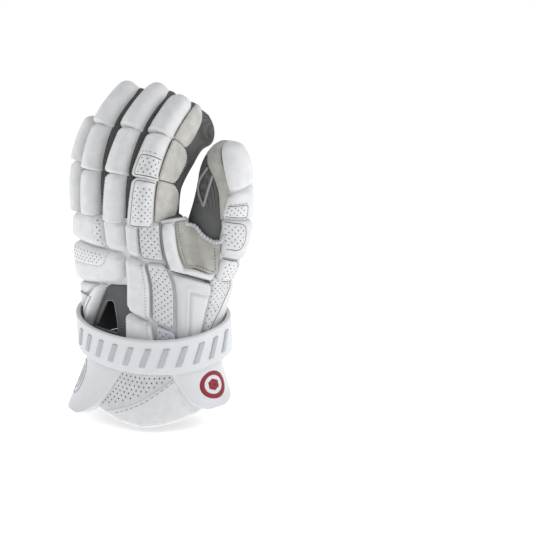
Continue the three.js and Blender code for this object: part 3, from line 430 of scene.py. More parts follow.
class Pad:
    """A padded patch of a carrier surface. Its rows give its left and right end at shares of
    its length, and its height over every place comes from its edges and its seams."""

    def __init__(self, tube, rows, height, edges=(6, 6, 6, 6), corner=3.0, steer=0.0, crown=0.0,
                 tuck=False, seams=(), holes=(), wrinkle=0.35, pinch=0.0, seed=1, lean=0.0):
        self.tube, self.height, self.edges, self.corner = tube, height, edges, corner
        self.steer, self.crown, self.tuck, self.wrinkle = steer, crown, tuck, wrinkle
        self.pinch, self.seed, self.lean = pinch, seed, lean
        self.rows = np.array(rows, float)
        self.at = np.linspace(0, 1, len(rows))
        line = np.linspace(0, 1, 25)
        s, t = np.meshgrid(line, line)
        base = tube.point(*self.where(s, t), 0.0)
        self.wide = np.linalg.norm(np.diff(base, axis=1), axis=2).sum(1)
        self.tall = np.linalg.norm(np.diff(base, axis=0), axis=2).sum(0)
        self.line = line
        self.width, self.length = self.wide.mean(), self.tall.mean()
        size = np.array([self.width, self.length])
        shape = lambda spec: polyline([np.array(c) * size for c in spec["path"]], spec.get("round", 4), 1.0)
        self.seams = [(shape(spec), spec) for spec in seams]
        self.holes = [shape(spec) for spec in holes]

    def where(self, s, t):
        left, left_up, right, right_up = (through(self.at, self.rows[:, k], t) if len(self.rows) > 2 else
                                          self.rows[0, k] * (1 - t) + self.rows[1, k] * t for k in range(4))
        return left + (right - left) * s, left_up + (right_up - left_up) * s

    def lift(self, s, t):
        wide, tall = np.interp(t, self.line, self.wide), np.interp(s, self.line, self.tall)
        left, right, low, high = s * wide, (1 - s) * wide, t * tall, (1 - t) * tall
        if self.tuck:
            low = low + TUCKED_LENGTH
        side, end = np.minimum(left, right), np.minimum(low, high)
        far = np.where((side < self.corner) & (end < self.corner),
                       self.corner - np.hypot(self.corner - side, self.corner - end), np.minimum(side, end))
        cut = np.clip(far / np.maximum(np.minimum(side, end), 1e-3), 0, 1)
        share = np.ones_like(s)
        for distance, radius in zip((left, right, low, high), self.edges):
            near = np.clip(distance * cut / radius, 0, 1)
            share = share * np.sqrt(1 - (1 - near) ** 2)
        share = np.where(far <= 0, 0, share)
        lift = self.height * share * (1 + self.crown * (4 * s * (1 - s) - 1)) * (1 - self.lean * (t - 0.5))
        x, y = s * self.width, t * self.length
        inner = np.clip(far / 3, 0, 1)
        swells = SWELL_SHARE * noise(x, y, SWELL_SPACING, self.seed)
        fine = FINE_SHARE * noise(x, y * 0.5, FINE_SPACING, self.seed + 1)
        lift = lift + inner * self.wrinkle * (swells + fine)
        if self.pinch:
            lift = lift - self.folds(left, right, low, high)
        for path, spec in self.seams:
            distance, _ = distance_to(x, y, path)
            lift = lift - spec.get("deep", 0.8) * np.exp(-(distance / spec.get("broad", 1.1)) ** 2) * inner
        return lift

    def folds(self, left, right, low, high):
        """Small folds that run in from the lower corners and along the lower end."""
        total = 0
        for k, (across, up) in enumerate(((left, low), (right, low), (right, high))):
            reach = np.hypot(across, up)
            turn = np.arctan2(up, across)
            total = total + self.pinch * np.exp(-reach / FOLD_LENGTH) * np.clip(reach / 2, 0, 1) * (
                0.5 + 0.5 * np.sin(turn * FOLD_FAN + self.seed * 1.7 + k))
        ripple = noise(left, low * 0.15, RIPPLE_SPACING, self.seed + 5)
        return total + (self.pinch * RIPPLE_SHARE * np.exp(-low / RIPPLE_LENGTH) * ripple
                        * np.clip(low / 1.2, 0, 1))

    def point(self, s, t, extra=0.0):
        around, along = self.where(s, t)
        return self.tube.point(around, along, self.lift(s, t) + extra, self.steer)

    def flat(self, x, y, extra=0.0):
        """The point over a place in mm on the patch laid flat."""
        return self.point(np.asarray(x) / self.width, np.asarray(y) / self.length, extra)

    def stations_across(self, step):
        """Stations across the patch. With holes they are evenly spaced over the padded profile."""
        if not self.holes:
            return stations(self.width, step, RIM)
        s = np.linspace(0, 1, 400)
        profile = self.point(s, np.full(400, 0.5))
        run = np.concatenate([[0], np.cumsum(np.linalg.norm(np.diff(profile, axis=0), axis=1))])
        across, first = stations(run[-1], step, RIM)
        return np.interp(across * run[-1], run, s), first

    def punch(self, s, t, step, first_up, first_across):
        """Draws the stations round each hole together, and marks the middles and the cells."""
        middles = np.zeros_like(s)
        pits = np.zeros((s.shape[0] - 1, s.shape[1] - 1), bool)
        for i in range(first_up + HOLE_EVERY, s.shape[0] - first_up - 2, HOLE_EVERY):
            for j in range(first_across + HOLE_EVERY, s.shape[1] - first_across - 2, HOLE_EVERY):
                if (i - first_up) // HOLE_EVERY % 2 != (j - first_across) // HOLE_EVERY % 2:
                    continue
                x, y = np.array([s[i, j] * self.width]), np.array([t[i, j] * self.length])
                near = [distance_to(x, y, path) for path in self.holes]
                if not any(inside[0] and distance[0] > HOLE_CLEARANCE for distance, inside in near):
                    continue
                pace = (s[i, j + 1] - s[i, j - 1]) / 2 / step
                for di in (-1, 0, 1):
                    for dj in (-1, 0, 1):
                        if di or dj:
                            size = HOLE_RADIUS / math.hypot(di, dj)
                            s[i + di, j + dj] = s[i, j] + dj * size * pace
                            t[i + di, j + dj] = t[i, j] + di * size / self.length
                middles[i, j] = -HOLE_DEPTH
                pits[i - 1:i + 1, j - 1:j + 1] = True
        return middles, pits

    def build(self, name, slot, skin, nodes=(), step=None, soft=True, root=ROOT, keep=None,
              inner_skin=None):
        if step is None:
            step = HOLE_STEP if self.holes else PLAIN_STEP * DETAIL
        across, first_across = self.stations_across(step)
        up, first_up = stations(self.length, HOLE_STEP_UP if self.holes else step, RIM)
        s, t = np.meshgrid(DRAWN_IN / self.width + across * (1 - 2 * DRAWN_IN / self.width),
                           DRAWN_IN / self.length + up * (1 - 2 * DRAWN_IN / self.length))
        middles, pits = self.punch(s, t, step, first_up, first_across)
        lift = self.lift(s, t) + middles
        rim = np.ones(s.shape, bool)
        rim[1:-1, 1:-1] = False
        floor = -root * RIM_DEPTH_SHARE
        lift = np.where(rim, np.minimum(lift, 0) + floor, np.maximum(lift, floor))
        around, along = self.where(s, t)
        top = self.tube.point(around, along, lift, self.steer)
        low = self.tube.point(around, along, -root, self.steer)
        middle = lambda grid: (grid[:-1, :-1] + grid[1:, 1:]) / 2
        kept = None if keep is None else keep(middle(top), middle(around), middle(along))
        points, faces, cells = slab(top, low, kept)
        kinds = np.where((cells >= 0) & np.append(pits.ravel(), False)[np.maximum(cells, -1)], 1, 0)
        skins = [skin, SKINS["hole"]] if self.holes else [skin]
        if inner_skin:
            skins, kinds = [skin, SKINS[inner_skin]], np.where(cells < 0, 1, 0)
        piece = make_object(name, points, faces, skins, kinds)
        return finish_piece(piece, slot, nodes, soft)


class Strands:
    """Thin cords, stitches and piping of one finish, gathered into one piece."""

    def __init__(self):
        self.points, self.faces, self.count = [], [], 0

    def cord(self, path, radius, sides=6):
        path = np.asarray(path, float)
        tangent = unit(np.gradient(path, axis=0))
        reference = np.where(abs(tangent[:, 2:]) < 0.9, UP, THUMBWARD)
        across = unit(np.cross(tangent, reference))
        for k in range(1, len(path)):
            across[k] = unit(across[k - 1] - tangent[k] * (across[k - 1] @ tangent[k]))
        other = np.cross(tangent, across)
        turn = np.arange(sides) * 2 * math.pi / sides
        ring = np.cos(turn)[None, :, None] * across[:, None] + np.sin(turn)[None, :, None] * other[:, None]
        radius = np.broadcast_to(radius, len(path))[:, None, None]
        body = path[:, None] + ring * radius
        start = path[0] - tangent[0] * radius[0] * 0.6 + ring[0] * radius[0] * 0.55
        end = path[-1] + tangent[-1] * radius[-1] * 0.6 + ring[-1] * radius[-1] * 0.55
        rows = np.concatenate([start[None], body, end[None]])
        n = len(rows)
        i, j = np.meshgrid(np.arange(n - 1), np.arange(sides), indexing="ij")
        k = (j + 1) % sides
        quads = np.stack([i * sides + j, i * sides + k, (i + 1) * sides + k, (i + 1) * sides + j],
                         -1).reshape(-1, 4)
        caps = []
        for base, flip in ((0, True), ((n - 1) * sides, False)):
            for q in range(1, sides - 1, 2):
                cap = [base, base + q, base + q + 1, base + min(q + 2, sides - 1)]
                caps.append(cap[::-1] if flip else cap)
        faces = np.concatenate([quads, np.array(caps)])
        a, b, c, d = (rows.reshape(-1, 3)[faces[:, m]] for m in range(4))
        if (np.cross(a, b) * c).sum() + (np.cross(a, c) * d).sum() < 0:
            faces = faces[:, ::-1]
        self.points.append(rows.reshape(-1, 3))
        self.faces.append(faces + self.count)
        self.count += len(rows) * sides

    def stitches(self, surface, path, pitch=3.0, length=2.1, radius=0.36):
        """Stitches along a path of flat places on a pad, each one arched a little."""
        run = np.concatenate([[0], np.cumsum(np.linalg.norm(np.diff(path, axis=0), axis=1))])
        for start in np.arange(pitch / 2, run[-1] - length, pitch):
            along = np.linspace(start, start + length, 4)
            x, y = np.interp(along, run, path[:, 0]), np.interp(along, run, path[:, 1])
            arch = np.array([-0.25, 0.12, 0.12, -0.25])
            self.cord(surface.flat(x, y, arch), radius)

    def build(self, name, slot, skin):
        points, faces = np.concatenate(self.points), np.concatenate(self.faces)
        return finish_piece(make_object(name, points, faces, [skin]), slot, soft=False)


def linear(value):
    share = value / 255
    return share / 12.92 if share <= 0.04045 else ((share + 0.055) / 1.055) ** 2.4


def skin(name, colour, rough, grain=1.1, relief=0.10, mottle=0.03, fuzz=0.0, pattern="grain"):
    """A material of grained leather, brushed suede or knitted mesh. Its grain and mottle come
    from the object's own coordinates, in metres."""
    material = bpy.data.materials.new(name)
    material.use_nodes = True
    tree = material.node_tree
    add, link = tree.nodes.new, tree.links.new
    shader = tree.nodes["Principled BSDF"]
    base = [linear(c) for c in colour]
    shader.inputs["Roughness"].default_value = rough
    shader.inputs["Specular IOR Level"].default_value = 0.35
    if fuzz:
        shader.inputs["Sheen Weight"].default_value = fuzz
        shader.inputs["Sheen Roughness"].default_value = 0.5
        shader.inputs["Specular IOR Level"].default_value = 0.15
    place = add("ShaderNodeTexCoord")

    def texture(kind, size_mm, **settings):
        node = add(kind)
        node.inputs["Scale"].default_value = 1 / (size_mm * MM)
        for key, value in settings.items():
            if key in node.inputs:
                node.inputs[key].default_value = value
            else:
                setattr(node, key, value)
        link(place.outputs["Object"], node.inputs["Vector"])
        return node

    blotches = texture("ShaderNodeTexNoise", 9.0, Detail=4.0, Roughness=0.6)
    ramp = add("ShaderNodeValToRGB")
    low, high = (np.clip(np.array(base) * (1 + k * mottle * 2), 0, 1) for k in (-1, 1))
    ramp.color_ramp.elements[0].position, ramp.color_ramp.elements[1].position = 0.3, 0.7
    ramp.color_ramp.elements[0].color = (*low, 1)
    ramp.color_ramp.elements[1].color = (*high, 1)
    link(blotches.outputs["Fac"], ramp.inputs["Fac"])
    colour_out = ramp.outputs["Color"]

    bump = add("ShaderNodeBump")
    bump.inputs["Strength"].default_value = 0.6
    bump.inputs["Distance"].default_value = relief * MM
    height = add("ShaderNodeMath")
    height.operation = "ADD"
    if pattern == "mesh":
        cells = texture("ShaderNodeTexVoronoi", grain, Randomness=0.12)
        fine = texture("ShaderNodeTexNoise", grain * 0.25, Detail=2.0)
        holes = add("ShaderNodeValToRGB")
        holes.color_ramp.elements[0].position, holes.color_ramp.elements[1].position = 0.22, 0.5
        holes.color_ramp.elements[0].color = (*[c * 0.30 for c in base], 1)
        holes.color_ramp.elements[1].color = (*[min(c * 1.25, 1) for c in base], 1)
        link(cells.outputs["Distance"], holes.inputs["Fac"])
        colour_out = holes.outputs["Color"]
        link(cells.outputs["Distance"], height.inputs[0])
    elif pattern == "suede":
        fine = texture("ShaderNodeTexNoise", grain * 0.5, Detail=5.0, Roughness=0.75)
        cells = texture("ShaderNodeTexNoise", grain * 3, Detail=3.0, Distortion=0.6)
        link(cells.outputs["Fac"], height.inputs[0])
    else:
        cells = texture("ShaderNodeTexVoronoi", grain, feature="F2", Randomness=0.9)
        fine = texture("ShaderNodeTexNoise", grain * 0.35, Detail=3.0)
        link(cells.outputs["Distance"], height.inputs[0])
    link(fine.outputs["Fac"], height.inputs[1])
    link(height.outputs[0], bump.inputs["Height"])
    link(bump.outputs["Normal"], shader.inputs["Normal"])
    link(colour_out, shader.inputs["Base Color"])
    return material


SMOOTH = dict(grain=0.6, relief=0.02, mottle=0.008)
BRUSHED = dict(rough=0.92, grain=0.8, relief=0.16, mottle=0.07, fuzz=0.35, pattern="suede")
SKINS = {
    "white": skin("white_grained_leather", (223, 224, 225), 0.46),
    "perforated": skin("perforated_white_leather", (214, 215, 217), 0.52),
    "grey_perforated": skin("perforated_pale_leather", (205, 209, 214), 0.55),
    "suede": skin("grey_suede", (175, 174, 168), **BRUSHED),
    # A lighter copy of the grey suede: painted light on the index finger's sides, which turn away from the
    # lamps into shade.
    "suede_painted_lit": skin("grey_suede_painted_lit", (196, 195, 190), **BRUSHED),
    "mesh": skin("dark_knitted_mesh", (92, 92, 91), 0.85, grain=1.5, relief=0.35, pattern="mesh"),
    "palm": skin("grey_palm_leather", (94, 96, 95), 0.8, grain=0.9, relief=0.12, mottle=0.05,
                 pattern="suede"),
    "gusset": skin("grey_ribbed_gusset", (90, 92, 95), 0.75, grain=0.8, mottle=0.04),
    "guard": skin("smooth_moulded_guard", (218, 219, 221), 0.34, **SMOOTH),
    "tab": skin("smooth_moulded_tab", (220, 221, 224), 0.38, **SMOOTH),
    "strap": skin("moulded_strap_rubber", (214, 216, 219), 0.40, grain=0.7, relief=0.03, mottle=0.01),
    "relief": skin("grey_moulded_relief", (178, 181, 185), 0.45, grain=0.7, relief=0.04),
    "red": skin("dark_red_moulded_rubber", (139, 30, 45), 0.42, grain=0.6, relief=0.03),
    "rim": skin("grey_vent_rim", (128, 130, 133), 0.6, grain=0.7, relief=0.1),
    "binding": skin("pale_grey_binding", (196, 198, 201), 0.6, grain=0.7, relief=0.1),
    "thread": skin("white_thread", (240, 241, 243), 0.6, grain=0.3, relief=0.08),
    # Grey thread; its cord along the chevron crease is painted shade.
    "grey_thread_and_crease_shade": skin("grey_thread_and_crease_shade", (150, 152, 156), 0.65, grain=0.3, relief=0.08),
    "dark_thread": skin("dark_thread", (70, 71, 74), 0.7, grain=0.3, relief=0.08),
    "hole": skin("punched_hole", (58, 60, 64), 0.9, grain=0.4, relief=0.05),
    "lining": skin("dark_brushed_lining", (40, 41, 43), 0.95, grain=0.7, relief=0.2, fuzz=0.2,
                   pattern="suede"),
}


def within(tube, points, margin):
    """Which points lie inside a tube that is grown by margin."""
    flat = points.reshape(-1, 3)
    rings = tube.place[::4]
    centres = rings[:, :-1].mean(1)
    found = np.zeros(len(flat), bool)
    nearest = np.argmin(((flat[:, None] - centres[None]) ** 2).sum(2), axis=1)
    for k in np.unique(nearest):
        chosen = nearest == k
        side, back = tube.side[::4][k], tube.back[::4][k]
        ring, away = rings[k] - centres[k], flat[chosen] - centres[k]
        around = np.arctan2(ring @ side, ring @ back)
        order = np.argsort(around)
        reach = np.hypot(ring @ side, ring @ back)
        turn = np.arctan2(away @ side, away @ back)
        limit = np.interp(turn, around[order], reach[order], period=2 * math.pi)
        deep = abs(away @ np.cross(side, back)) < 9
        found[chosen] = (np.hypot(away @ side, away @ back) < limit + margin) & deep
    return found.reshape(points.shape[:-1])


# The slot and the skin of finishes that several patches share
WHITE = ("white_leather", "white")
PERFORATED = ("perforated_leather", "perforated")
GREY_SUEDE = ("grey_suede", "suede")

pads = {}
BUILD_OPTIONS = ("step", "soft", "root", "keep", "inner_skin")


def pad(name, tube, rows, height, slot, skin, nodes=None, kind=Pad, **options):
    """Makes a padded patch, keeps it for the seams that follow, and builds its piece."""
    build = {k: options.pop(k) for k in BUILD_OPTIONS if k in options}
    pads[name] = kind(tube, rows, height, seed=len(pads) * 3 + 1, **options)
    piece = pads[name].build(name + "_skin" if nodes is None else name, slot, SKINS[skin],
                             (name,) if nodes is None else nodes, **build)
    return piece


def area(*corners):
    """The corners of a perforated area, in shares of a patch's width and length."""
    return dict(path=corners)


# The back of the hand: knuckle rolls, backhand rolls and the column
pad("knuckle_roll_pinky", hand, [(-0.172, 0.775, 0.004, 0.750), (-0.180, 0.985, -0.016, 0.995)],
    BACK_ROLL, *WHITE, edges=(9, 7, 7, 8), corner=7, crown=0.06,
    seams=[dict(path=[(0.84, 0), (0.82, 1)], deep=1.0)],
    holes=[area((0.855, 0.07), (0.99, 0.07), (0.985, 0.93), (0.84, 0.93))])
pad("knuckle_roll_middle", hand, [(0.010, 0.752, 0.080, 0.748), (-0.010, 0.995, 0.078, 0.985)],
    BACK_ROLL, *WHITE, edges=(7, 7, 7, 7), corner=6,
    seams=[dict(path=[(0.20, 1), (0.16, 0.5), (0.16, 0.10), (1, 0.06)], deep=1.0, round=5)])
pad("knuckle_roll_index", hand, [(0.083, 0.742, 0.120, 0.710), (0.081, 0.985, 0.126, 0.980)],
    BACK_ROLL, *WHITE, edges=(6, 5, 6, 6), corner=5)
pad("knuckle_vent_index", hand, [(0.121, 0.705, 0.180, 0.695), (0.127, 0.980, 0.194, 0.985)],
    VENT_PANEL, *PERFORATED, edges=(3, 3, 3, 4), corner=3,
    seams=[dict(path=[(0.07, 1), (0.07, 0.09), (0.93, 0.05)], deep=0.8, round=3)],
    holes=[area((0.07, 0.08), (0.97, 0.05), (0.97, 0.98), (0.07, 0.98))])
pad("backhand_roll_ulnar", hand, [(-0.166, 0.430, 0.046, 0.515), (-0.166, 0.760, 0.068, 0.735)],
    BACK_ROLL, *WHITE, edges=(9, 7, 8, 7), corner=7, crown=0.05,
    seams=[dict(path=[(0.0, 0.50), (0.70, 0.52), (0.77, 0.75), (0.77, 1)], deep=0.9, round=6)],
    holes=[area((0.05, 0.93), (0.755, 0.93), (0.755, 0.75), (0.69, 0.56), (0.05, 0.54))])
pad("backhand_chevron_roll", hand, [(-0.262, 0.060, -0.227, 0.060), (-0.205, 0.415, -0.043, 0.470)],
    BACK_ROLL, *WHITE, edges=(7, 5, 7, 5), corner=4, tuck=True, lean=0.5)
pad("backhand_diagonal_roll", hand, [(-0.224, 0.060, -0.130, 0.060), (-0.040, 0.472, -0.009, 0.480)],
    BACK_ROLL, *WHITE, edges=(5, 5, 5, 5), corner=4, tuck=True)
pad("backhand_column", hand, [(0.050, 0.317, 0.115, 0.246), (0.070, 0.728, 0.126, 0.695)],
    BACK_ROLL, *WHITE, edges=(7, 6, 6, 7), corner=6,
    seams=[dict(path=[(0.16, 1), (0.16, 0.0)], deep=0.8), dict(path=[(0.84, 1), (0.84, 0)], deep=0.7)])
pad("backhand_column_lower", hand, [(0.042, 0.060, 0.127, 0.060), (0.044, 0.308, 0.115, 0.238)],
    BACK_ROLL, *WHITE, edges=(7, 6, 6, 6), corner=6, tuck=True,
    seams=[dict(path=[(0.84, 1), (0.84, 0)], deep=0.7)])
pad("backhand_vent_panel", hand, [(0.118, 0.240, 0.175, 0.175), (0.129, 0.690, 0.180, 0.680)],
    VENT_PANEL, *PERFORATED, edges=(3, 3, 4, 3), corner=5,
    seams=[dict(path=[(0.08, 1), (0.08, 0.05), (0.92, 0.05), (0.92, 1)], deep=0.7, round=4)],
    holes=[area((0.06, 0.04), (0.96, 0.04), (0.96, 0.98), (0.06, 0.98))])
pad("backhand_strip_lower", hand, [(0.129, 0.060, 0.176, 0.060), (0.128, 0.230, 0.177, 0.165)],
    VENT_PANEL, "perforated_leather", "grey_perforated", edges=(3, 3, 3, 3), corner=3, tuck=True,
    holes=[area((0.10, 0.0), (0.92, 0.0), (0.92, 0.92), (0.10, 0.92))])

# The thumb side of the hand: the frame, the suede saddle, the guard and the wrist panel
pad("saddle_frame", hand, [(0.184, 0.634, 0.226, 0.590), (0.186, 0.680, 0.223, 0.670),
                            (0.198, 0.985, 0.238, 0.985)],
    FRAME_ROLL, *WHITE, edges=(5, 5, 5, 5), corner=4)
pad("saddle_bar", hand, [(0.206, 0.610, 0.274, 0.528), (0.210, 0.655, 0.302, 0.592)],
    FRAME_ROLL, *WHITE, edges=(3, 4, 4, 3), corner=1.5)
pad("thumb_saddle", hand, [(0.224, 0.655, 0.304, 0.592), (0.227, 0.720, 0.336, 0.670),
                           (0.234, 0.850, 0.331, 0.835), (0.241, 0.985, 0.312, 0.985)],
    SUEDE, *GREY_SUEDE, edges=(2.5, 2.5, 2.5, 2.5), corner=4, wrinkle=0.8,
    seams=[dict(path=[(0.10, 1), (0.10, 0.0)], deep=0.6), dict(path=[(0, 0.10), (1, 0.10)], deep=0.6)])
pad("thumb_guard", hand, [(0.179, 0.060, 0.240, 0.060), (0.182, 0.620, 0.276, 0.512)],
    GUARD, "guard_plate", "guard", edges=(9, 5, 4, 8), corner=3, tuck=True, wrinkle=0.0, soft=False,
    seams=[dict(path=[(0.38, 0.08), (0.32, 0.845), (0.96, 0.83)], deep=-1.6, broad=1.1, round=1),
           dict(path=[(0.44, 0.08), (0.385, 0.785), (0.94, 0.77)], deep=2.4, broad=1.3, round=1)])
pad("thumb_wrist_panel", hand, [(0.243, 0.060, 0.360, 0.060), (0.262, 0.350, 0.370, 0.340),
                                (0.276, 0.575, 0.372, 0.490)],
    VENT_PANEL, *PERFORATED, edges=(4, 6, 4, 5), corner=5, tuck=True,
    seams=[dict(path=[(0.45, 1), (0.52, 0.8), (0.25, 0.4), (0.02, 0.25)], deep=0.9, round=5)],
    holes=[area((0.03, 0.97), (0.60, 0.97), (0.60, 0.80), (0.37, 0.40), (0.14, 0.16), (0.03, 0.08))])

# The fingers: three shingled rolls on each back, two on the smallest finger
ROLL_NAMES = {2: ("base", "tip"), 3: ("base", "mid", "tip")}
ROLL_SEAMS = {
    "index_base": dict(seams=[dict(path=[(0.45, 0.0), (0.46, 0.92)], deep=0.7, broad=0.8),
                              dict(path=[(1, 0.92), (0.52, 0.92), (0.50, 0.05), (1, 0.05)],
                                   deep=0.9, broad=0.8, round=3)],
                       holes=[area((0.54, 0.08), (1.02, 0.08), (1.02, 0.88), (0.55, 0.88))]),
    "index_mid": dict(seams=[dict(path=[(0.46, 0.51), (1, 0.51)], deep=0.5, broad=0.8),
                             dict(path=[(1, 0.44), (0.49, 0.44), (0.46, 0.05), (1, 0.05)],
                                  deep=0.9, broad=0.8, round=3)],
                      holes=[area((1.02, 0.42), (0.51, 0.42), (0.48, 0.06), (1.02, 0.06))]),
    "middle_mid": dict(seams=[dict(path=[(0.36, 1), (0.31, 0.55), (0.36, 0)],
                                   deep=0.8, broad=0.9, round=15)]),
    "middle_base": dict(seams=[dict(path=[(0.34, 1), (0.36, 0)], deep=0.5, broad=0.7),
                               dict(path=[(0.43, 1), (0.44, 0)], deep=0.9, broad=0.9)]),
    "ring_mid": dict(seams=[dict(path=[(0.40, 1), (0.36, 0.5), (0.40, 0)], deep=0.5, broad=0.9, round=15)]),
}
ROLL_LEFT, ROLL_RIGHT = {"index": -0.19, "pinky": -0.160}, 0.086
ROLL_HEIGHTS = {"pinky": 9.0}
SIDE_EDGES = {"base": (0.270, 0.320, 0.345, 0.355, 0.350, 0.325, 0.250),
              "mid": (0.245, 0.285, 0.305, 0.318, 0.322, 0.305, 0.235),
              "tip": (0.235, 0.262, 0.270, 0.262, 0.245, 0.215, 0.165)}


def roll_row(t, left, up, is_tip):
    """A row of a finger roll: it flares at its lower end, and a tip roll narrows at its top."""
    flare = max(1 - t / 0.16, 0) ** 2
    taper = max((t - 0.7) / 0.3, 0) ** 2 if is_tip else 0.08 * t
    return left - 0.016 * flare + 0.045 * taper, up, ROLL_RIGHT + 0.012 * flare - 0.080 * taper, up


for name, tube in fingers.items():
    starts = FINGERS[name]["rolls"]
    for k, (start, end) in enumerate(zip(starts, starts[1:] + (FINGER_ROLL_END,))):
        part = ROLL_NAMES[len(starts)][k]
        is_tip = k == len(starts) - 1
        extras = ROLL_SEAMS.get(f"{name}_{part}", {})
        left = ROLL_LEFT.get(name, -0.178)
        low = start - (0.035 if k == 0 else 0.012)
        rows = [roll_row(t, left, low + (end - low) * t, is_tip) for t in np.linspace(0, 1, 13)]
        pad(f"{name}_roll_{part}", tube, rows, ROLL_HEIGHTS.get(name, FINGER_ROLL), *WHITE,
            steer=0.6, pinch=1.3, edges=(9, 8, 2.6, 10 if is_tip else 6.5), corner=5 if is_tip else 1.6,
            crown=0.05, lean=0.16, **extras)
        if name == "index":
            rows = [(0.084, start + (end - start) * t, edge, start + (end - start) * t)
                    for t, edge in zip(np.linspace(0, 1, 7), SIDE_EDGES[part])]
            # The index sides take the lighter suede copy, painted light that makes up for their shade.
            pad(f"index_side_{part}", tube, rows, SUEDE, "grey_suede", "suede_painted_lit",
                edges=(1.5, 2.5, 2.0, 2.0), corner=3, wrinkle=0.7)

# The thumb
pad("thumb_roll_root", thumb, [(-0.200, 0.290, 0.165, 0.290), (-0.210, 0.428, 0.180, 0.438)],
    THUMB_ROLL - 1.5, *WHITE, edges=(6, 6, 5, 5), corner=5, pinch=0.4,
    seams=[dict(path=[(0.97, 1), (0.68, 0.98), (0.66, 0.1), (0.9, 0.05)], deep=0.8, broad=0.8, round=4)],
    holes=[area((0.69, 0.05), (0.96, 0.05), (0.98, 0.96), (0.70, 0.96))])
pad("thumb_roll_base", thumb, [(-0.215, 0.435, 0.188, 0.445), (-0.225, 0.630, 0.232, 0.635)],
    THUMB_ROLL - 1.5, *PERFORATED, edges=(7, 5, 3, 5), corner=4, pinch=0.6,
    seams=[dict(path=[(0.95, 0.94), (0.70, 0.93), (0.67, 0.62), (0.72, 0.28), (0.93, 0.24)], deep=1.0,
                broad=0.8, round=6)],
    holes=[area((0.72, 0.91), (0.69, 0.6), (0.735, 0.31), (0.985, 0.27), (0.985, 0.91))])
pad("thumb_roll_mid", thumb, [(-0.225, 0.640, 0.232, 0.645), (-0.215, 0.850, 0.206, 0.765)],
    THUMB_ROLL - 1, *WHITE, edges=(7, 5, 3, 4), corner=3, pinch=0.6,
    seams=[dict(path=[(0.96, 0.50), (0.70, 0.50), (0.69, 0.06), (0.95, 0.06)], deep=0.9, broad=0.8, round=3)],
    holes=[area((0.975, 0.47), (0.72, 0.47), (0.71, 0.09), (0.975, 0.09))])
pad("thumb_roll_tip", thumb, [(-0.215, 0.862, 0.204, 0.777), (-0.210, 0.950, 0.252, 0.900),
                              (-0.190, 1.0, 0.300, 1.0)],
    THUMB_ROLL - 1, *WHITE, edges=(7, 4, 3, 6), corner=4, pinch=0.6)
pad("thumb_edge", thumb, [(0.222, 0.628, 0.236, 0.628), (0.213, 0.700, 0.252, 0.700),
                          (0.200, 0.775, 0.270, 0.775), (0.217, 0.850, 0.315, 0.850),
                          (0.258, 0.915, 0.385, 0.915), (0.295, 1.0, 0.445, 0.990)],
    SUEDE, *GREY_SUEDE, edges=(1.5, 2.5, 1, 1.5), corner=1.5)


# Liners, sheaths and web

def outside(*tubes_and_margins):
    def keep(points, around, along):
        kept = np.ones(points.shape[:-1], bool)
        for tube, margin in tubes_and_margins:
            kept &= ~within(tube, points, margin)
        return kept
    return keep


HAND_GIRTH = 320
GUSSET_ROWS = [(-0.127, 0.060, 0.052, 0.060), (-0.006, 0.480, 0.064, 0.500)]
VENT_HOLE = [(-0.096, 0.130, 0.012, 0.130), (-0.026, 0.350, 0.003, 0.358)]
THUMB_MOUTH, FINGER_MOUTH = -3.0, -1.2


def keep_back(points, around, along):
    """The back of the liner, without the vent and the mouth of the thumb."""
    share = np.clip((along - 0.11) / (0.375 - 0.11), 0, 1)
    left, right = -0.112 + share * 0.078, 0.026 - share * 0.010
    vent = (along > 0.11) & (along < 0.375) & (around > left) & (around < right)
    return outside((thumb, THUMB_MOUTH))(points, around, along) & ~vent


pad("hand_liner_back", hand, [(-0.275, 0.003, 0.275, 0.003), (-0.275, 0.997, 0.275, 0.997)],
    0.05, *WHITE, edges=(0.5,) * 4, corner=0.5, wrinkle=0, root=LINER_WALL,
    keep=keep_back, step=1.6, soft=False, inner_skin="lining")
pad("hand_liner_palm", hand, [(0.262, 0.003, 0.738, 0.003), (0.262, 0.997, 0.738, 0.997)],
    0.6, "palm_leather", "palm", edges=(1, 1, 1, 1), corner=2, wrinkle=0.5, root=LINER_WALL,
    keep=outside((thumb, THUMB_MOUTH)), step=1.6, soft=False,
    inner_skin="lining",
    seams=[dict(path=[(0.0, 0.62), (0.5, 0.50), (1, 0.56)], deep=0.8),
           dict(path=[(0.46, 0), (0.40, 0.3), (0.44, 0.52)], deep=0.8, round=12)])


def ring_faces(rows, spokes, poles):
    """Faces of rings of spokes points. With poles, the first and the last ring are one point."""
    index = np.arange(rows * spokes).reshape(rows, spokes)
    if poles:
        index[0], index[-1] = index[0, 0], index[-1, 0]
    nxt = np.roll(index, -1, 1)
    faces = np.stack([index[:-1], nxt[:-1], nxt[1:], index[1:]], -1)
    return faces


def compact(points, faces):
    used, where = np.unique(faces, return_inverse=True)
    return points[used], where.reshape(faces.shape)


SOCK_SKINS = ("mesh", "palm", "lining", "white", "suede")
PALM_KIND, LINING_KIND, WHITE_KIND, SUEDE_KIND = (SOCK_SKINS.index(k) for k in SOCK_SKINS[1:])


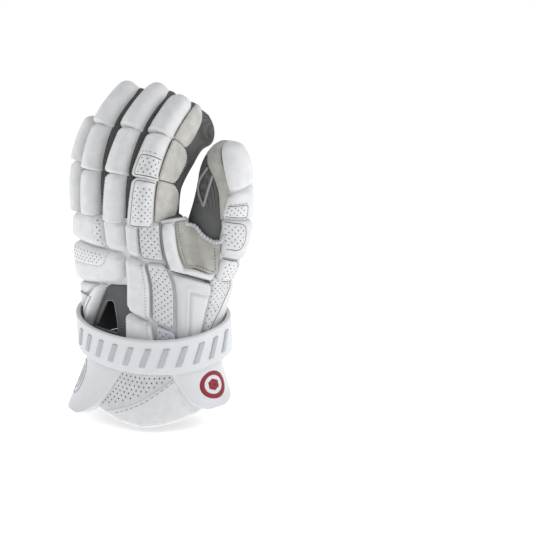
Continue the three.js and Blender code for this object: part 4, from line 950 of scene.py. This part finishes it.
def sock(name, tube, start, wall, tip, slot, nodes, choose, bulge=0.0, spokes=96, rings=90):
    """A thin tube that is closed at its tip and open at its root, with its wall modelled. Its
    palm side swells towards the tip by bulge, and choose picks the kind of skin of each face."""
    alongs = np.concatenate([[tip], np.linspace(tip - 0.0004, start, rings)])
    inner = np.linspace(start, tip - wall / 110, rings // 2)
    around = np.arange(spokes) / spokes - 0.5
    palm_side = np.clip((abs(around) - 0.12) / 0.25, 0, 1) ** 2
    depth = np.exp(-((alongs - 0.97) / 0.12) ** 2) + 0.5 * np.clip((alongs - 0.3) / 0.3, 0, 1)
    fat = bulge * palm_side[None] * depth[:, None]
    outer = tube.point(around[None], alongs[:, None], fat)
    low = tube.point(around[None], inner[:, None], -wall)
    outer[0] = outer[1].mean(0)
    low[-1] = low[-2].mean(0)
    points = np.concatenate([outer, low])
    faces = ring_faces(len(points), spokes, poles=True)
    a, b = np.meshgrid(around, np.concatenate([alongs, inner])[:-1])
    kinds = choose(a, b)
    kinds[rings:] = LINING_KIND
    points, faces = compact(points.reshape(-1, 3), faces.reshape(-1, 4))
    piece = make_object(name, points, faces,
                        [SKINS[k] for k in SOCK_SKINS], kinds.ravel())
    return finish_piece(piece, slot, nodes, soft=False)


TIP_BULGE = {"index": 7.0, "middle": 5.0, "ring": 4.5, "pinky": 2.0}
for name, tube in fingers.items():
    sock(f"finger_sheath_{name}_knit", tube, -0.03, SHEATH_WALL, 0.999, "dark_mesh",
         (f"finger_sheath_{name}",), bulge=TIP_BULGE[name],
         choose=lambda a, b: np.select([abs(a) > 0.42, (a > -0.17) & (a < 0.06) & (b < 0.93)],
                                       [PALM_KIND, WHITE_KIND]))
sock("thumb_sheath_knit", thumb, 0.05, SHEATH_WALL, 0.999, "dark_mesh", ("thumb_sheath",),
     choose=lambda a, b: np.select([(b > 0.94) & (a > 0.24), (a > -0.2) & (a < 0.21), b < 0.69],
                                   [SUEDE_KIND, WHITE_KIND, PALM_KIND]))


def web():
    """The floor between the finger roots, with an opening under each finger."""
    back_side = np.linspace(-0.247, 0.247, 100)
    share = np.linspace(0, 1, 36)[:, None, None]
    edge, far = hand.point(back_side, 0.997, -0.4), hand.point(0.5 - back_side, 0.997, -0.4)
    top = edge[None] * (1 - share) + far[None] * share
    bulge = np.sin(share[..., 0] * math.pi) * np.ones(100)[None]
    top[..., 2] += bulge * 1.5
    low = top - UP * LINER_WALL
    middle = (top[:-1, :-1] + top[1:, 1:]) / 2
    keep = np.ones(middle.shape[:2], bool)
    for tube in fingers.values():
        keep &= ~within(tube, middle, FINGER_MOUTH)
    points, faces, _ = slab(top, low, keep)
    return finish_piece(make_object("finger_root_web", points, faces, [SKINS["palm"]]), "palm_leather",
                        soft=False)


web()


# The gusset round the vent over the wrist
def gusset():
    corner = lambda rows: np.array([rows[0][:2], rows[0][2:], rows[1][2:], rows[1][:2]], float)
    size = np.array([HAND_GIRTH, PALM_LENGTH], float)
    loops = []
    for rows, rounding in ((GUSSET_ROWS, 2.0), (VENT_HOLE, 3.0)):
        c = corner(rows) * size
        start = (c[0] + c[1]) / 2
        loops.append(polyline([start, c[1], c[2], c[3], c[0], start], rounding, 0.6))
    count = 240
    even = []
    for path in loops:
        run = np.linspace(0, 1, len(path))
        at = np.arange(count) / count
        even.append(np.stack([np.interp(at, run, path[:, k]) for k in (0, 1)], 1))
    share = np.array([0, 0.03, 0.1, 0.25, 0.4, 0.55, 0.7, 0.84, 0.93, 0.965, 0.985, 1.0])
    lift = GUSSET * np.array([0.1, 0.7, 0.9, 1, 1, 0.95, 0.9, 0.85, 1.05, 1.15, 0.9, 0.2])
    flat = even[0][None] * (1 - share[:, None, None]) + even[1][None] * share[:, None, None]
    around, along = flat[..., 0] / size[0], flat[..., 1] / size[1]
    ripple = 0.25 * np.sin(flat[..., 1] * 2.2)
    rise = lift[:, None] + np.where((share > 0.03) & (share < 0.85), 1, 0)[:, None] * ripple
    top = hand.point(around, along, rise)
    low = hand.point(around, along, -ROOT)
    points, faces, cells = slab(top, low, wrap=True)
    rim = (cells >= 8 * count)
    piece = make_object("wrist_vent_gusset_ring", points, faces, [SKINS["gusset"], SKINS["rim"]],
                        np.where(rim, 1, 0))
    return finish_piece(piece, "grey_gusset", ("wrist_vent_gusset",), soft=True)


gusset()


# The cuff
def cuff_edge(around):
    turn = np.sin(math.pi * (around - CUFF_LOW_POINT)) ** 2
    return CUFF_EDGE_RISE * turn ** 0.75 / CUFF_LENGTH


class CuffPad(Pad):
    """A patch whose shares run from the cuff's own lower edge up to the wrist."""

    def where(self, s, t):
        around, share = Pad.where(self, s, t)
        low = cuff_edge(around)
        return around, low + (0.995 - low) * share


def cuff_shell():
    around = np.arange(240) / 240 - 0.5
    share = np.linspace(0, 1, 34)[:, None]
    low = cuff_edge(around)[None]
    along = low + (0.995 - low) * share
    lip = np.minimum(share * 12, 1)
    top = cuff.point(np.broadcast_to(around, along.shape), along, -1.0 * (1 - lip))
    inner = cuff.point(np.broadcast_to(around, along.shape), along, -CUFF_WALL + 1.0 * (1 - lip))
    points, faces, cells = slab(top, inner, wrap=True)
    piece = make_object("cuff_liner_shell", points, faces, [SKINS["white"], SKINS["lining"]],
                        np.where(cells < 0, 1, 0))
    return finish_piece(piece, "perforated_leather", ("cuff_liner",), soft=False)


cuff_shell()
pad("cuff_panel_perforated", cuff, [(-0.300, 0.02, 0.275, 0.02), (-0.300, 0.97, 0.275, 0.97)], 1.6,
    *PERFORATED, nodes=(), kind=CuffPad, edges=(1.5,) * 4, corner=2, step=0.8,
    wrinkle=0.2, holes=[area((0.02, 0.05), (0.515, 0.05), (0.960, 0.95), (0.02, 0.95))])
pad("cuff_panel_smooth", cuff, [(0.000, 0.02, 0.420, 0.02), (0.258, 0.97, 0.420, 0.97)], 2.8,
    *WHITE, nodes=(), kind=CuffPad, edges=(1.6,) * 4, corner=2, wrinkle=0.2)
pad("cuff_panel_palm", cuff, [(0.423, 0.02, 0.697, 0.02), (0.423, 0.97, 0.697, 0.97)], 1.6,
    "palm_leather", "palm", nodes=(), kind=CuffPad, edges=(1.5,) * 4, corner=2)

TAB_FLARE = 0.9
pad("cuff_tab_ulnar", cuff, [(-0.120, 0.010, -0.065, 0.020), (-0.165, 0.110, -0.028, 0.140),
                             (-0.190, 0.330, 0.000, 0.340), (-0.200, 0.990, 0.055, 0.990)],
    TAB, "white_leather", "tab", edges=(3.5, 3.5, 3.5, 1.5), corner=4, wrinkle=0.1, lean=TAB_FLARE + 0.4)
pad("cuff_tab_radial", cuff, [(0.235, 0.210, 0.285, 0.220), (0.207, 0.300, 0.330, 0.310),
                              (0.185, 0.480, 0.355, 0.460), (0.140, 0.990, 0.375, 0.990)],
    TAB, "white_leather", "tab", edges=(3.5, 3.5, 3.5, 1.5), corner=4, wrinkle=0.1, lean=TAB_FLARE)


# The strap: a band with rounded lips, and a row of plain slanted bars in relief
STRAP_DROP = 3.0


def strap_band():
    outline = []
    lip = 1.6
    low, high = lip - STRAP_DROP, STRAP_HEIGHT - lip
    outline += [(y, 0.0) for y in np.linspace(low, high, 26)]
    turn = np.linspace(0, math.pi, 9)[1:-1]
    half = STRAP_WALL / 2
    outline += [(high + lip * math.sin(a), -half + half * math.cos(a)) for a in turn]
    outline += [(y, -STRAP_WALL) for y in np.linspace(high, low, 18)]
    outline += [(low - lip * math.sin(a), -half - half * math.cos(a)) for a in turn]
    outline = np.array(outline)
    around = np.arange(420) / 420 - 0.5
    points = strap.point(around[None], outline[:, :1] / STRAP_HEIGHT, outline[:, 1:])
    index = np.arange(points.shape[0] * 420).reshape(points.shape[0], 420)
    nxt, up = np.roll(index, -1, 1), np.roll(index, -1, 0)
    faces = np.stack([index, nxt, np.roll(up, -1, 1), up], -1).reshape(-1, 4)
    piece = make_object("wrist_strap_band", points.reshape(-1, 3), faces, [SKINS["strap"]])
    return finish_piece(piece, "strap_rubber", ("wrist_strap",), soft=False)


strap_band()
BAR_COUNT, BAR_FIRST, BAR_LAST, BAR_STROKE = 11, -0.105, 0.278, 0.014
for k in range(BAR_COUNT):
    left = BAR_FIRST + (BAR_LAST - BAR_FIRST) * k / (BAR_COUNT - 1)
    pad(f"strap_relief_bar_{k + 1}", strap, [(left, 0.14, left + BAR_STROKE, 0.14),
                                              (left + 0.018, 0.76, left + 0.018 + BAR_STROKE, 0.76)],
        1.1, "strap_rubber", "relief", nodes=(), edges=(0.9,) * 4, corner=1.2, wrinkle=0, soft=False,
        step=0.8)


def height_over(patch, around, along):
    """The height of a patch over places of its carrier surface."""
    s, t = np.meshgrid(np.linspace(0, 1, 150), np.linspace(0, 1, 150))
    a, b = (grid.ravel() for grid in patch.where(s, t))
    far = (((around.ravel()[:, None] - a) * CUFF_GIRTH) ** 2
           + ((along.ravel()[:, None] - b) * CUFF_LENGTH) ** 2)
    return patch.lift(s, t).ravel()[far.argmin(1)].reshape(around.shape)


def badge(name, tab, centre, radii, profile, skin, sides=0, wide=1.0):
    """A ring or a plate on a tab of the cuff: its height at shares of the way from its inner
    radius to its outer one. With sides it is a polygon."""
    angle = np.arange(96) * 2 * math.pi / 96
    reach = np.ones(96)
    if sides:
        wedge = 2 * math.pi / sides
        reach = math.cos(wedge / 2) / np.cos((angle + wedge / 2) % wedge - wedge / 2)
    share, lift = np.array(profile).T
    radius = (radii[0] + (radii[1] - radii[0]) * share)[:, None] * reach[None]
    a, b = np.array(centre)
    spread = cuff.point(np.array([a - 0.01, a + 0.01, a, a]), np.array([b, b, b - 0.01, b + 0.01]), TAB)
    around = a + wide * radius * np.cos(angle) * 0.02 / np.linalg.norm(spread[1] - spread[0])
    along = b + radius * np.sin(angle) * 0.02 / np.linalg.norm(spread[3] - spread[2])
    base = height_over(pads[tab], around, along)
    top = cuff.point(around, along, base + 0.1 + 0.5 * lift[:, None])
    low = cuff.point(around, along, base - 1.2)
    points, faces, _ = slab(top, low, wrap=True)
    return finish_piece(make_object(name, points, faces, [SKINS[skin]]), "white_leather", soft=False)


CUFF_GIRTH = 300
RAISED = [(0, 0), (0.08, 0.5), (0.25, 0.8), (0.5, 0.9), (0.75, 0.8), (0.92, 0.5), (1, 0)]
PLATE = [(0, 0.9), (0.5, 0.9), (0.85, 0.9), (0.95, 0.6), (1, 0)]
LEFT_EMBLEM, RIGHT_EMBLEM = (-0.140, 0.450), (0.269, 0.525)
for place, radii in (("outer", (15.0, 17.6)), ("middle", (9.2, 11.6)), ("inner", (3.6, 5.8))):
    badge(f"tab_ring_{place}", "cuff_tab_ulnar", LEFT_EMBLEM, radii, RAISED, "relief")
badge("tab_ring_red", "cuff_tab_radial", RIGHT_EMBLEM, (8.3, 12.2), RAISED, "red", wide=1.4)
badge("tab_plate_red", "cuff_tab_radial", RIGHT_EMBLEM, (0.3, 5.4), PLATE, "red", sides=6, wide=1.4)


# Stitches, piping, outlines, binding and cords
V_CORDS = ([(0.364, 0.882), (0.426, 0.793), (0.352, 0.690)],
           [(0.317, 0.848), (0.337, 0.777), (0.352, 0.690)])
PATH_SPACING = 0.5
# Where a grey cord paints the shade of the crease between the chevron roll and the diagonal roll
CHEVRON_CREASE_SHADE_CORD = [(-0.124, 0.372), (-0.063, 0.369), (-0.151, 0.140)]
threads = {finish: Strands() for finish in ("thread", "grey_thread_and_crease_shade", "dark_thread", "binding")}


def laid(name, *corners, rounding=4):
    """A path over a pad, through corners given in shares of its width and length."""
    size = np.array([pads[name].width, pads[name].length])
    return polyline([np.array(c) * size for c in corners], rounding, PATH_SPACING)


def sew(finish, name, *corners, rounding=4, **options):
    threads[finish].stitches(pads[name], laid(name, *corners, rounding=rounding), **options)


def outline(finish, name, *corners, radius=0.42, rounding=4):
    path = laid(name, *corners, rounding=rounding)
    threads[finish].cord(pads[name].flat(path[:, 0], path[:, 1]), radius)


def over(tube, corners, lift=0.8, steps=40):
    """Points over the bare surface of a tube, through corners in shares around and along."""
    corners = np.array(corners, float)
    at, known = np.linspace(0, len(corners) - 1, steps), np.arange(len(corners))
    return tube.point(through(known, corners[:, 0], at), through(known, corners[:, 1], at), lift)


outline("dark_thread", "index_roll_base", (0.98, 0.92), (0.52, 0.92), (0.50, 0.05), (0.98, 0.05), rounding=3)
outline("dark_thread", "index_roll_mid", (0.98, 0.44), (0.49, 0.44), (0.46, 0.05), (0.98, 0.05), rounding=3)
outline("dark_thread", "thumb_roll_base", (0.95, 0.94), (0.70, 0.93), (0.67, 0.62), (0.72, 0.28),
        (0.93, 0.24), rounding=6)
outline("dark_thread", "thumb_roll_mid", (0.96, 0.50), (0.70, 0.50), (0.69, 0.06), (0.95, 0.06), rounding=3)
outline("dark_thread", "thumb_roll_root", (0.96, 0.97), (0.68, 0.98), (0.66, 0.1), (0.9, 0.05))
sew("grey_thread_and_crease_shade", "index_roll_mid", (0.48, 0.51), (0.95, 0.51))
sew("grey_thread_and_crease_shade", "middle_roll_base", (0.34, 0.97), (0.36, 0.05))
sew("grey_thread_and_crease_shade", "thumb_roll_mid", (0.70, 0.56), (0.96, 0.56))
for part in ("base", "mid", "tip"):
    sew("dark_thread", f"index_side_{part}", (0.90, 0.04), (0.90, 0.96), pitch=2.6, length=1.5, radius=0.3)
for corners in (((0.10, 0.97), (0.10, 0.10)), ((0.10, 0.09), (0.97, 0.09))):
    sew("dark_thread", "thumb_saddle", *corners, pitch=2.6, length=1.6, radius=0.3)
sew("grey_thread_and_crease_shade", "cuff_panel_smooth", (0.040, 0.05), (0.045, 0.95), pitch=3.2, length=2.2, radius=0.34)
for name in ("backhand_column_lower", "backhand_column"):
    outline("thread", name, (0.94, 0.03), (0.94, 0.97), radius=0.9)
    sew("grey_thread_and_crease_shade", name, (0.85, 0.03), (0.85, 0.97), pitch=2.8, length=1.5, radius=0.3)
outline("grey_thread_and_crease_shade", "backhand_vent_panel", (0.05, 0.97), (0.05, 0.04), (0.95, 0.04), (0.95, 0.97),
        radius=0.35)
outline("grey_thread_and_crease_shade", "knuckle_vent_index", (0.05, 0.97), (0.05, 0.06), (0.95, 0.04), radius=0.35)
outline("dark_thread", "thumb_wrist_panel", (0.60, 0.97), (0.62, 0.80), (0.40, 0.40), (0.16, 0.16),
        radius=0.38)

# The suede web between the saddle and the thumb, and the rolled binding of its upper edge
WEB_ON_HAND, WEB_LIFT_HAND, WEB_RUN_ON = ((0.250, 0.640), (0.275, 0.960)), 3.2, 0.38
WEB_ON_THUMB, WEB_LIFT_THUMB = ((0.166, 0.345), (0.212, 0.500)), 3.4
WEB_SAG, WEB_LOW_SAG, WEB_SWELL, WEB_RIPPLE, WEB_THICKNESS = 4.0, 3.4, 6.5, 0.25, 2.2


def mix_between(ends, share):
    """The places between two ends, each a share around and a share along."""
    low, high = ends
    return tuple(a + (b - a) * share for a, b in zip(low, high))


def suede_web():
    """Runs on from the back of the hand, bends over to the thumb and sags at its upper edge."""
    rise, cross = np.linspace(0, 1, 60)[:, None], np.linspace(0, 1, 50)[None]
    around, along = mix_between(WEB_ON_HAND, rise)
    left = hand.point(around, along, WEB_LIFT_HAND)
    onward = unit(hand.point(around + 0.008, along, WEB_LIFT_HAND) - left)
    right = thumb.point(*mix_between(WEB_ON_THUMB, rise), WEB_LIFT_THUMB)
    reach = np.linalg.norm(right - left, axis=-1, keepdims=True)
    middle = left + WEB_RUN_ON * onward * reach
    share = cross[..., None]
    top = left * (1 - share) ** 2 + middle * 2 * share * (1 - share) + right * share ** 2
    sag = 4 * cross * (1 - cross)
    top[..., 2] -= sag * (WEB_SAG * rise ** 2 + WEB_LOW_SAG * (1 - rise) ** 2)
    facing = unit(np.cross(np.gradient(top, axis=1), np.gradient(top, axis=0)))
    facing = facing * np.where(facing[..., 1].mean() > 0, -1, 1)
    ripple = noise(cross * 30 + rise * 0, rise * 30 + cross * 0, 6, 77)
    swell = WEB_SWELL * sag ** 1.5 + WEB_RIPPLE * ripple
    top = top + facing * swell[..., None]
    points, faces, _ = slab(top, top - facing * WEB_THICKNESS)
    finish_piece(make_object("thumb_saddle_web", points, faces, [SKINS["suede"]]), "grey_suede")
    return top


web_top = suede_web()
rim = np.concatenate([over(hand, [(0.285, 0.990), (0.300, 0.965)], 3.0, 6), web_top[-1, 1:-1:4],
                      over(thumb, [(0.206, 0.520), (0.204, 0.545)], 5.0, 4)])
BINDING_SPACING = 0.6
rim = polyline(rim, 4, BINDING_SPACING)
run = np.arange(len(rim)) * BINDING_SPACING
threads["binding"].cord(rim, 1.9 + 0.35 * np.sin(run * 1.9) + 0.2 * np.sin(run * 4.3 + 1), sides=12)
for row in (web_top[4, 3:-4], web_top[6:-6, -5]):
    path = polyline(row[::3], 3, 0.5)
    for k in range(2, len(path) - 4, 6):
        threads["dark_thread"].cord(path[k:k + 4], 0.32)
turn = np.linspace(-0.5, 0.5, 400)
threads["thread"].cord(cuff.point(turn, cuff_edge(turn) + 0.004, 0.2), 1.3, sides=8)
for corners in V_CORDS:
    threads["grey_thread_and_crease_shade"].cord(over(thumb, corners, 1.2, 30), 1.3)
# Painted shade: a grey cord laid along the chevron crease stands for the crease's shadow
for start, end in ((0, 1), (1, 2)):
    threads["grey_thread_and_crease_shade"].cord(over(hand, [CHEVRON_CREASE_SHADE_CORD[start], CHEVRON_CREASE_SHADE_CORD[end]], 8.4, 24), 0.9)
threads["dark_thread"].cord(over(hand, [(0.188, 0.630), (0.230, 0.578), (0.272, 0.524)], 4.2, 24), 0.6)
threads["grey_thread_and_crease_shade"].cord(over(hand, [(0.196, 0.980), (0.189, 0.800), (0.183, 0.645)], 1.6, 30), 1.1)
threads["binding"].cord(over(hand, [(0.200, 0.992), (0.240, 1.0), (0.290, 0.990)], 3.6, 30), 1.5, sides=10)
sew("grey_thread_and_crease_shade", "backhand_roll_ulnar", (0.03, 0.50), (0.70, 0.52), (0.79, 0.72), (0.79, 0.97), pitch=2.4,
    length=1.3, radius=0.28)
for finish, strands in threads.items():
    strands.build(f"sewn_{finish}", "white_leather", SKINS[finish])


# Camera at the photograph's angle
AZIMUTH, ELEVATION = math.radians(42), math.radians(12)
CAMERA_DISTANCE, PIXEL_SIZE, FRAME_SIDE = 1900, 0.915, 533
AIM, AIM_PIXEL = Vector((0, 0, 148)), (150, 250)
back = Vector((math.sin(AZIMUTH) * math.cos(ELEVATION), -math.cos(AZIMUTH) * math.cos(ELEVATION),
               math.sin(ELEVATION)))
right = Vector((math.cos(AZIMUTH), math.sin(AZIMUTH), 0))
above = back.cross(right)
offset = right * (AIM_PIXEL[0] - FRAME_SIDE / 2) - above * (AIM_PIXEL[1] - FRAME_SIDE / 2)
camera_data = bpy.data.cameras.new("camera")
camera_data.sensor_width = 36
camera_data.lens = 36 * CAMERA_DISTANCE / PIXEL_SIZE / FRAME_SIDE
camera_data.clip_start, camera_data.clip_end = 0.05, 50
camera = bpy.data.objects.new("camera", camera_data)
bpy.context.scene.collection.objects.link(camera)
camera.location = (AIM + back * CAMERA_DISTANCE - offset * PIXEL_SIZE) * MM
camera.rotation_mode = "QUATERNION"
camera.rotation_quaternion = (-back).to_track_quat("-Z", "Y")
bpy.context.scene.camera = camera

# A plain pale floor and soft studio light
bpy.context.scene.view_settings.view_transform = "Standard"
FLOOR_LEVEL, FLOOR_SIDE, FLOOR_GLOW = -6, 3000, 0.62
floor_mesh = bpy.data.meshes.new("floor")
half = FLOOR_SIDE / 2 * MM
floor_mesh.from_pydata([(-half, -half, 0), (half, -half, 0), (half, half, 0), (-half, half, 0)], [],
                       [(0, 1, 2, 3)])
floor = bpy.data.objects.new("floor", floor_mesh)
bpy.context.scene.collection.objects.link(floor)
floor.location.z = FLOOR_LEVEL * MM
floor_paint = bpy.data.materials.new("floor_paint")
floor_paint.use_nodes = True
floor_shader = floor_paint.node_tree.nodes["Principled BSDF"]
floor_shader.inputs["Base Color"].default_value = (0.93, 0.93, 0.93, 1)
floor_shader.inputs["Roughness"].default_value = 0.9
floor_shader.inputs["Emission Color"].default_value = (1, 1, 1, 1)
floor_shader.inputs["Emission Strength"].default_value = FLOOR_GLOW
floor_mesh.materials.append(floor_paint)

world = bpy.data.worlds.new("studio")
bpy.context.scene.world = world
world.use_nodes = True
world_nodes, world_links = world.node_tree.nodes, world.node_tree.links
direction = world_nodes.new("ShaderNodeTexCoord")
parts = world_nodes.new("ShaderNodeSeparateXYZ")
shade = world_nodes.new("ShaderNodeValToRGB")
world_links.new(direction.outputs["Generated"], parts.inputs[0])
world_links.new(parts.outputs["Z"], shade.inputs["Fac"])
world_links.new(shade.outputs["Color"], world_nodes["Background"].inputs["Color"])
HORIZON_GLOW, OVERHEAD_GLOW = 1.0, 0.32
for stop, (height, glow) in zip(shade.color_ramp.elements, ((0.12, HORIZON_GLOW), (0.42, OVERHEAD_GLOW))):
    stop.position, stop.color = height, (glow, glow, glow * 1.01, 1)


def lamp(name, azimuth, elevation, distance, side, power):
    a, e = math.radians(azimuth), math.radians(elevation)
    way = Vector((math.sin(a) * math.cos(e), -math.cos(a) * math.cos(e), math.sin(e)))
    data = bpy.data.lights.new(name, "AREA")
    data.shape, data.size, data.energy = "SQUARE", side * MM, power
    light = bpy.data.objects.new(name, data)
    bpy.context.scene.collection.objects.link(light)
    light.location = (Vector((0, 0, 150)) + way * distance) * MM
    light.rotation_mode = "QUATERNION"
    light.rotation_quaternion = (-way).to_track_quat("-Z", "Y")


lamp("right_light", 125, 35, 1100, 800, 5.2)
lamp("left_light", -55, 35, 1100, 800, 3.4)
